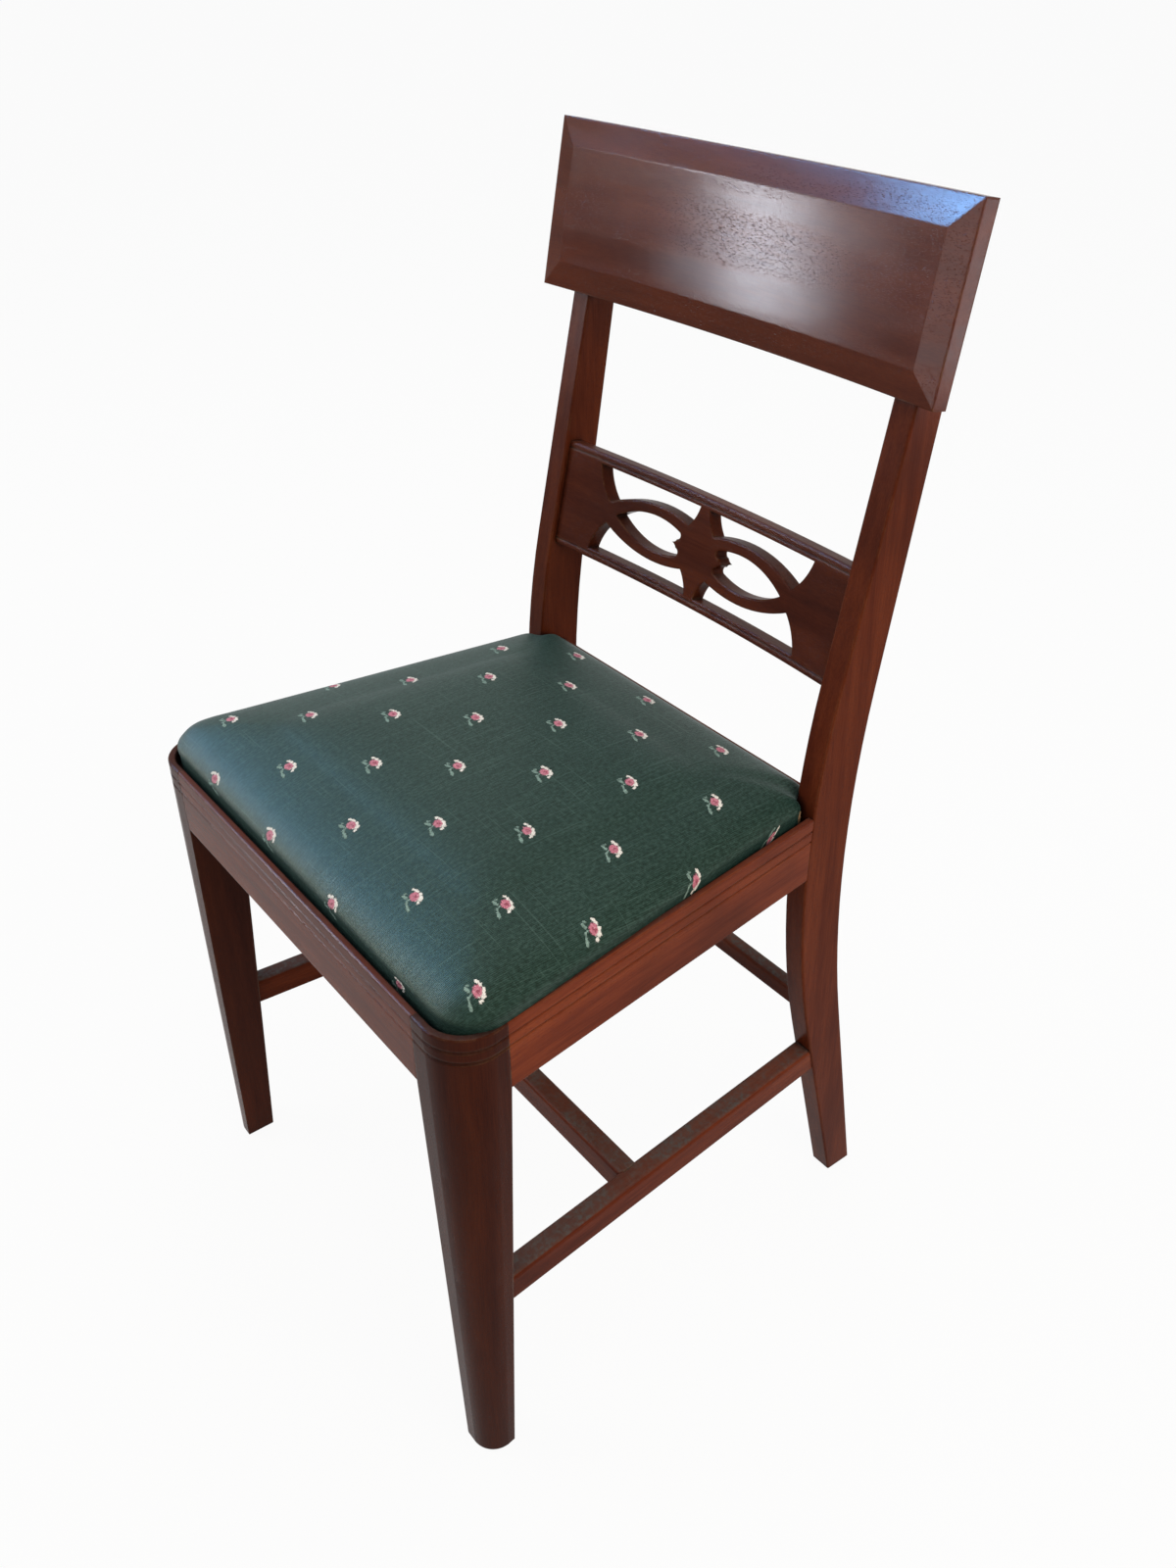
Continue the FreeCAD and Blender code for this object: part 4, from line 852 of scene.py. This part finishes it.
# %% Small fasteners
def turned(profile, sides):
    """A closed form from (radius, height) pairs turned about z; the first and last radius are 0.

    A point at angle a is (radius cos a, radius sin a, height); the two ends are single points.
    """
    profile = np.array(profile)
    angle = np.arange(sides) * 2 * math.pi / sides
    rings = profile[1:-1]
    body = np.stack([rings[:, :1] * np.cos(angle), rings[:, :1] * np.sin(angle),
                     np.repeat(rings[:, 1:], sides, 1)], -1).reshape(-1, 3)
    points = np.concatenate([body, [[0, 0, profile[0][1]], [0, 0, profile[-1][1]]]])
    numbers = np.arange(len(rings) * sides).reshape(len(rings), sides)
    after = np.roll(numbers, -1, 1)
    squares = np.stack([numbers[:-1], after[:-1], after[1:], numbers[1:]], -1).reshape(-1, 4)
    first, last = np.full(sides, len(body)), np.full(sides, len(body) + 1)
    caps = np.concatenate([np.stack([first, after[0], numbers[0]], 1),
                           np.stack([last, numbers[-1], after[-1]], 1)])
    return points, squares.tolist() + caps.tolist()


def copies(points, faces, places, across, up):
    """The form at many places, with its x along across and its z along up at each of them."""
    other = np.cross(up, across)
    whole = (places[:, None] + points[None, :, :1] * across[:, None]
             + points[None, :, 1:2] * other[:, None]
             + points[None, :, 2:] * up[:, None]).reshape(-1, 3)
    return whole, [[i + n * len(points) for i in face] for n in range(len(places)) for face in faces]


def small_metal(name, colour, rough):
    metal = Finish(name)
    spots = metal.noise(metal.place(), 900.0, 4.0, 0.7)
    tint = metal.blend(spots.step(0.45, 0.65), colour, (0.075, 0.040, 0.022))
    return metal.done(tint, (rough + spots * 0.35).held(), metal.bump(spots, 0.00005), Metallic=0.9)


def fasteners(name, profile, sides, places, across, up, finish):
    """One piece of many turned forms, each with its head towards its up."""
    places = np.asarray(places, float)
    across, up = (np.broadcast_to(np.asarray(way, float), places.shape) for way in (across, up))
    new_piece(name, *copies(*turned(profile, sides), places, across, up), finish)
    print(name, len(places), "pieces")


RIGHT, UP, DOWN = (1.0, 0.0, 0.0), (0.0, 0.0, 1.0), (0.0, 0.0, -1.0)
TACKS, TACK_INSET, UNDER_FRAME = 46, 0.0185, 0.41805
TACK_HEAD = [(0, -0.0008), (0.0030, -0.0006), (0.0034, -0.0001), (0.0028, 0.0005), (0.0016, 0.0010),
             (0, 0.0012)]
edge = seat_ring(TACK_INSET)
closed = np.vstack([edge, edge[:1]])
walked = np.concatenate([[0], np.cumsum(np.linalg.norm(np.diff(closed, axis=0), axis=1))])
marks = (np.arange(TACKS) + 0.5) * walked[-1] / TACKS
spots = np.stack([np.interp(marks, walked, closed[:, 0]),
                  np.interp(marks, walked, closed[:, 1]) + FRONT, np.full(TACKS, UNDER_FRAME)], 1)
fasteners("cover_tacks", TACK_HEAD, 12, spots, RIGHT, DOWN,
          small_metal("tack_steel", (0.16, 0.17, 0.19), 0.30))

# %% [markdown]
# ## Screws of the corner blocks
#
# Two screws go through each block's long inner face into the rails, and one goes up through it
# into the seat frame. Their places are worked out from the blocks' own corners, so that they stay
# on the blocks if the chair changes.

# %% Block and seat screws
def plane_of_block(side, front):
    """Two points of a block's slanted inner face in plan, and the way that face looks."""
    lo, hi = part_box(f"corner_block_{'front' if front else 'rear'}_{'left' if side < 0 else 'right'}")
    inner = lo[0] if side > 0 else hi[0]
    outer = hi[0] if side > 0 else lo[0]
    first, second = ((inner, lo[1]), (outer, hi[1])) if front else ((inner, hi[1]), (outer, lo[1]))
    first, second = np.array(first), np.array(second)
    along = (second - first) / np.linalg.norm(second - first)
    look = np.array([-along[1], along[0]])
    if look @ (np.array([0.0, 0.0]) - first) < 0:
        look = -look
    return first, second, look, (lo[2], hi[2])


SCREW_HEAD = [(0, -0.0020), (0.0040, -0.0012), (0.0042, 0.0001), (0.0034, 0.0009), (0.0020, 0.0015),
              (0, 0.0016)]
SEAT_SCREW_INSET = 0.011           # from a block's inner face
screw_steel = small_metal("screw_steel", (0.30, 0.29, 0.27), 0.34)
side_places, side_up, seat_places = [], [], []
for side in (-1, 1):
    for front in (True, False):
        first, second, look, (low, high) = plane_of_block(side, front)
        for share in (0.30, 0.66):
            side_places.append([*(first + (second - first) * share), (low + high) / 2])
            side_up.append([*look, 0.0])
        seat_places.append([*((first + second) / 2 - look * SEAT_SCREW_INSET), low])
fasteners("block_screws", SCREW_HEAD, 20, side_places, UP, side_up, screw_steel)
fasteners("seat_screws", SCREW_HEAD, 20, seat_places, RIGHT, DOWN, screw_steel)

# %% [markdown]
# ## Floor and surroundings
#
# The chair stands in a plain pale studio. Pale surroundings come from the floor and the world as
# the camera, a mirror or glass sees them, and not from more light on the chair: a Light Path node
# tells those rays from the ones that carry light. So the floor can be white and still keep the
# chair's shadow, and polished wood mirrors a white room without being bleached by it.

# %% Floor and world
WHITE = (1.0, 1.0, 1.0, 1.0)
FLOOR_COLOUR, FLOOR_WHITENESS = (0.62, 0.62, 0.61, 1.0), 0.94
FILL_COLOUR, FILL = (0.95, 0.97, 1.0, 1.0), 0.50


def studio_floor(half=30.0):
    """A square at z = 0, whose four corners are plus and minus half its side."""
    mesh = bpy.data.meshes.new("studio_floor")
    mesh.from_pydata([(-half, -half, 0), (half, -half, 0), (half, half, 0), (-half, half, 0)], [],
                     [(0, 1, 2, 3)])
    floor = bpy.data.objects.new("studio_floor", mesh)
    bpy.context.scene.collection.objects.link(floor)
    paint = Finish("pale_floor")
    lit = paint.node("ShaderNodeBsdfDiffuse", None, {"Color": FLOOR_COLOUR})
    white = paint.node("ShaderNodeEmission", None, {"Color": WHITE, "Strength": 1.0})
    looks = paint.surroundings() * FLOOR_WHITENESS
    paint.end(paint.node("ShaderNodeMixShader", None, {0: looks, 1: lit, 2: white}))
    mesh.materials.append(paint.material)


def studio_world():
    """Light of one strength from everywhere, and white where it is seen."""
    world = bpy.data.worlds.new("studio")
    world.use_nodes = True
    sky = Wiring(world.node_tree)
    fill = sky.node("ShaderNodeBackground", None, {"Color": FILL_COLOUR, "Strength": FILL})
    white = sky.node("ShaderNodeBackground", None, {"Color": WHITE, "Strength": 1.0})
    sky.end(sky.node("ShaderNodeMixShader", None, {0: sky.surroundings(), 1: fill, 2: white}),
            "ShaderNodeOutputWorld")
    return world


scene = bpy.context.scene
studio_floor()
scene.world = studio_world()
print("floor and world ready")


# %% [markdown]
# ## Lamps
#
# Three broad weak lamps light the chair: one from the left, a warm one from the right, and one
# overhead. What makes polish look like polish is what it mirrors, though. Four more lamps stand
# where the wood mirrors them towards the photograph's place, and light nothing by themselves: a
# tall window for the soft band on the crest, a blue strip of sky for the end of its upper bevel
# and the sheen of the cushion, and two weak walls for the small faces at the right. The warm lamp
# is the other way round: it lights but isn't mirrored, because the hollow face of the crest,
# looked at along its length, would throw it back as one white glare.

# %% Lamps
def soft_lamp(name, at, to, wide, high, watts, colour, lights=True, mirrored=True):
    """A rectangle of light at a place, facing a point. It may light, be mirrored, or both."""
    light = bpy.data.lights.new(name, "AREA")
    light.shape, light.size, light.size_y = "RECTANGLE", wide, high
    light.energy, light.color = watts, colour
    lamp = bpy.data.objects.new(name, light)
    lamp.location = at
    lamp.rotation_euler = (Vector(to) - Vector(at)).to_track_quat("-Z", "Y").to_euler()
    lamp.visible_camera, lamp.visible_diffuse, lamp.visible_glossy = False, lights, mirrored
    scene.collection.objects.link(lamp)


CREST_SIDE = (0.2, 0.17, 0.80)     # the right end of the crest
soft_lamp("window", (-4.325, -3.95, 2.15), (0.02, 0.188, 0.85), 0.33, 2.9, 355.0,
          (0.84, 0.90, 1.0), lights=False)
soft_lamp("sky", (-4.30, -2.04, 4.60), (0.15, 0.10, 0.75), 0.52, 3.4, 1130.0,
          (0.20, 0.50, 1.0), lights=False)
soft_lamp("room_left", (-2.2, -2.3, 1.9), (0.0, 0.0, 0.5), 1.8, 1.8, 38.0, (1.0, 0.96, 0.92))
soft_lamp("wall_ahead", (-1.18, -3.56, 1.14), CREST_SIDE, 0.8, 1.6, 50.0, (0.82, 0.93, 1.0),
          lights=False)
soft_lamp("wall_behind", (1.62, 2.02, 0.22), CREST_SIDE, 0.5, 0.5, 7.0, (0.86, 0.93, 1.0),
          lights=False)
soft_lamp("room_right", (2.2, 0.1, 1.6), (0.1, 0.0, 0.6), 1.6, 1.4, 34.0, (1.0, 0.86, 0.68),
          mirrored=False)
soft_lamp("ceiling", (-0.3, 0.6, 2.6), (0.0, 0.0, 0.4), 2.2, 2.2, 24.0, (0.96, 0.98, 1.0))
print("seven lamps")

# %% [markdown]
# ## The camera
#
# A view is only comparable with a photograph from the same place. The place, the way and the lens
# were found by fitting a simple camera to the chair's corners and outline. Its turn is built from
# three directions at right angles: right, up, and back towards the viewer.

# %% Camera, at the photograph's viewing angle
CAMERA_AT = (0.73464, -0.50877, 1.01886)
AZIMUTH, ELEVATION, ROLL = 0.923382, 0.594046, -0.0142455          # radians
LENS, SENSOR = 31.5177, 36.0                                       # millimetres


def photo_camera(at, azimuth, elevation, roll):
    """Columns of the turn are the camera's right, up and back, as the photograph was taken."""
    back = np.array([math.sin(azimuth) * math.cos(elevation), -math.cos(azimuth) * math.cos(elevation),
                     math.sin(elevation)])
    right = np.cross([0.0, 0.0, 1.0], back)
    right /= np.linalg.norm(right)
    up = np.cross(back, right)
    c, s = math.cos(roll), math.sin(roll)
    turn = np.stack([c * right + s * up, c * up - s * right, back], 1)
    camera = bpy.data.objects.new("camera", bpy.data.cameras.new("camera"))
    camera.data.lens, camera.data.sensor_width, camera.data.sensor_fit = LENS, SENSOR, "AUTO"
    place = Matrix([[*map(float, turn[i]), float(at[i])] for i in range(3)] + [[0.0, 0.0, 0.0, 1.0]])
    camera.matrix_world = place
    scene.collection.objects.link(camera)
    scene.camera = camera


photo_camera(CAMERA_AT, AZIMUTH, ELEVATION, ROLL)
scene.view_settings.view_transform = "Standard"
print("camera ready")
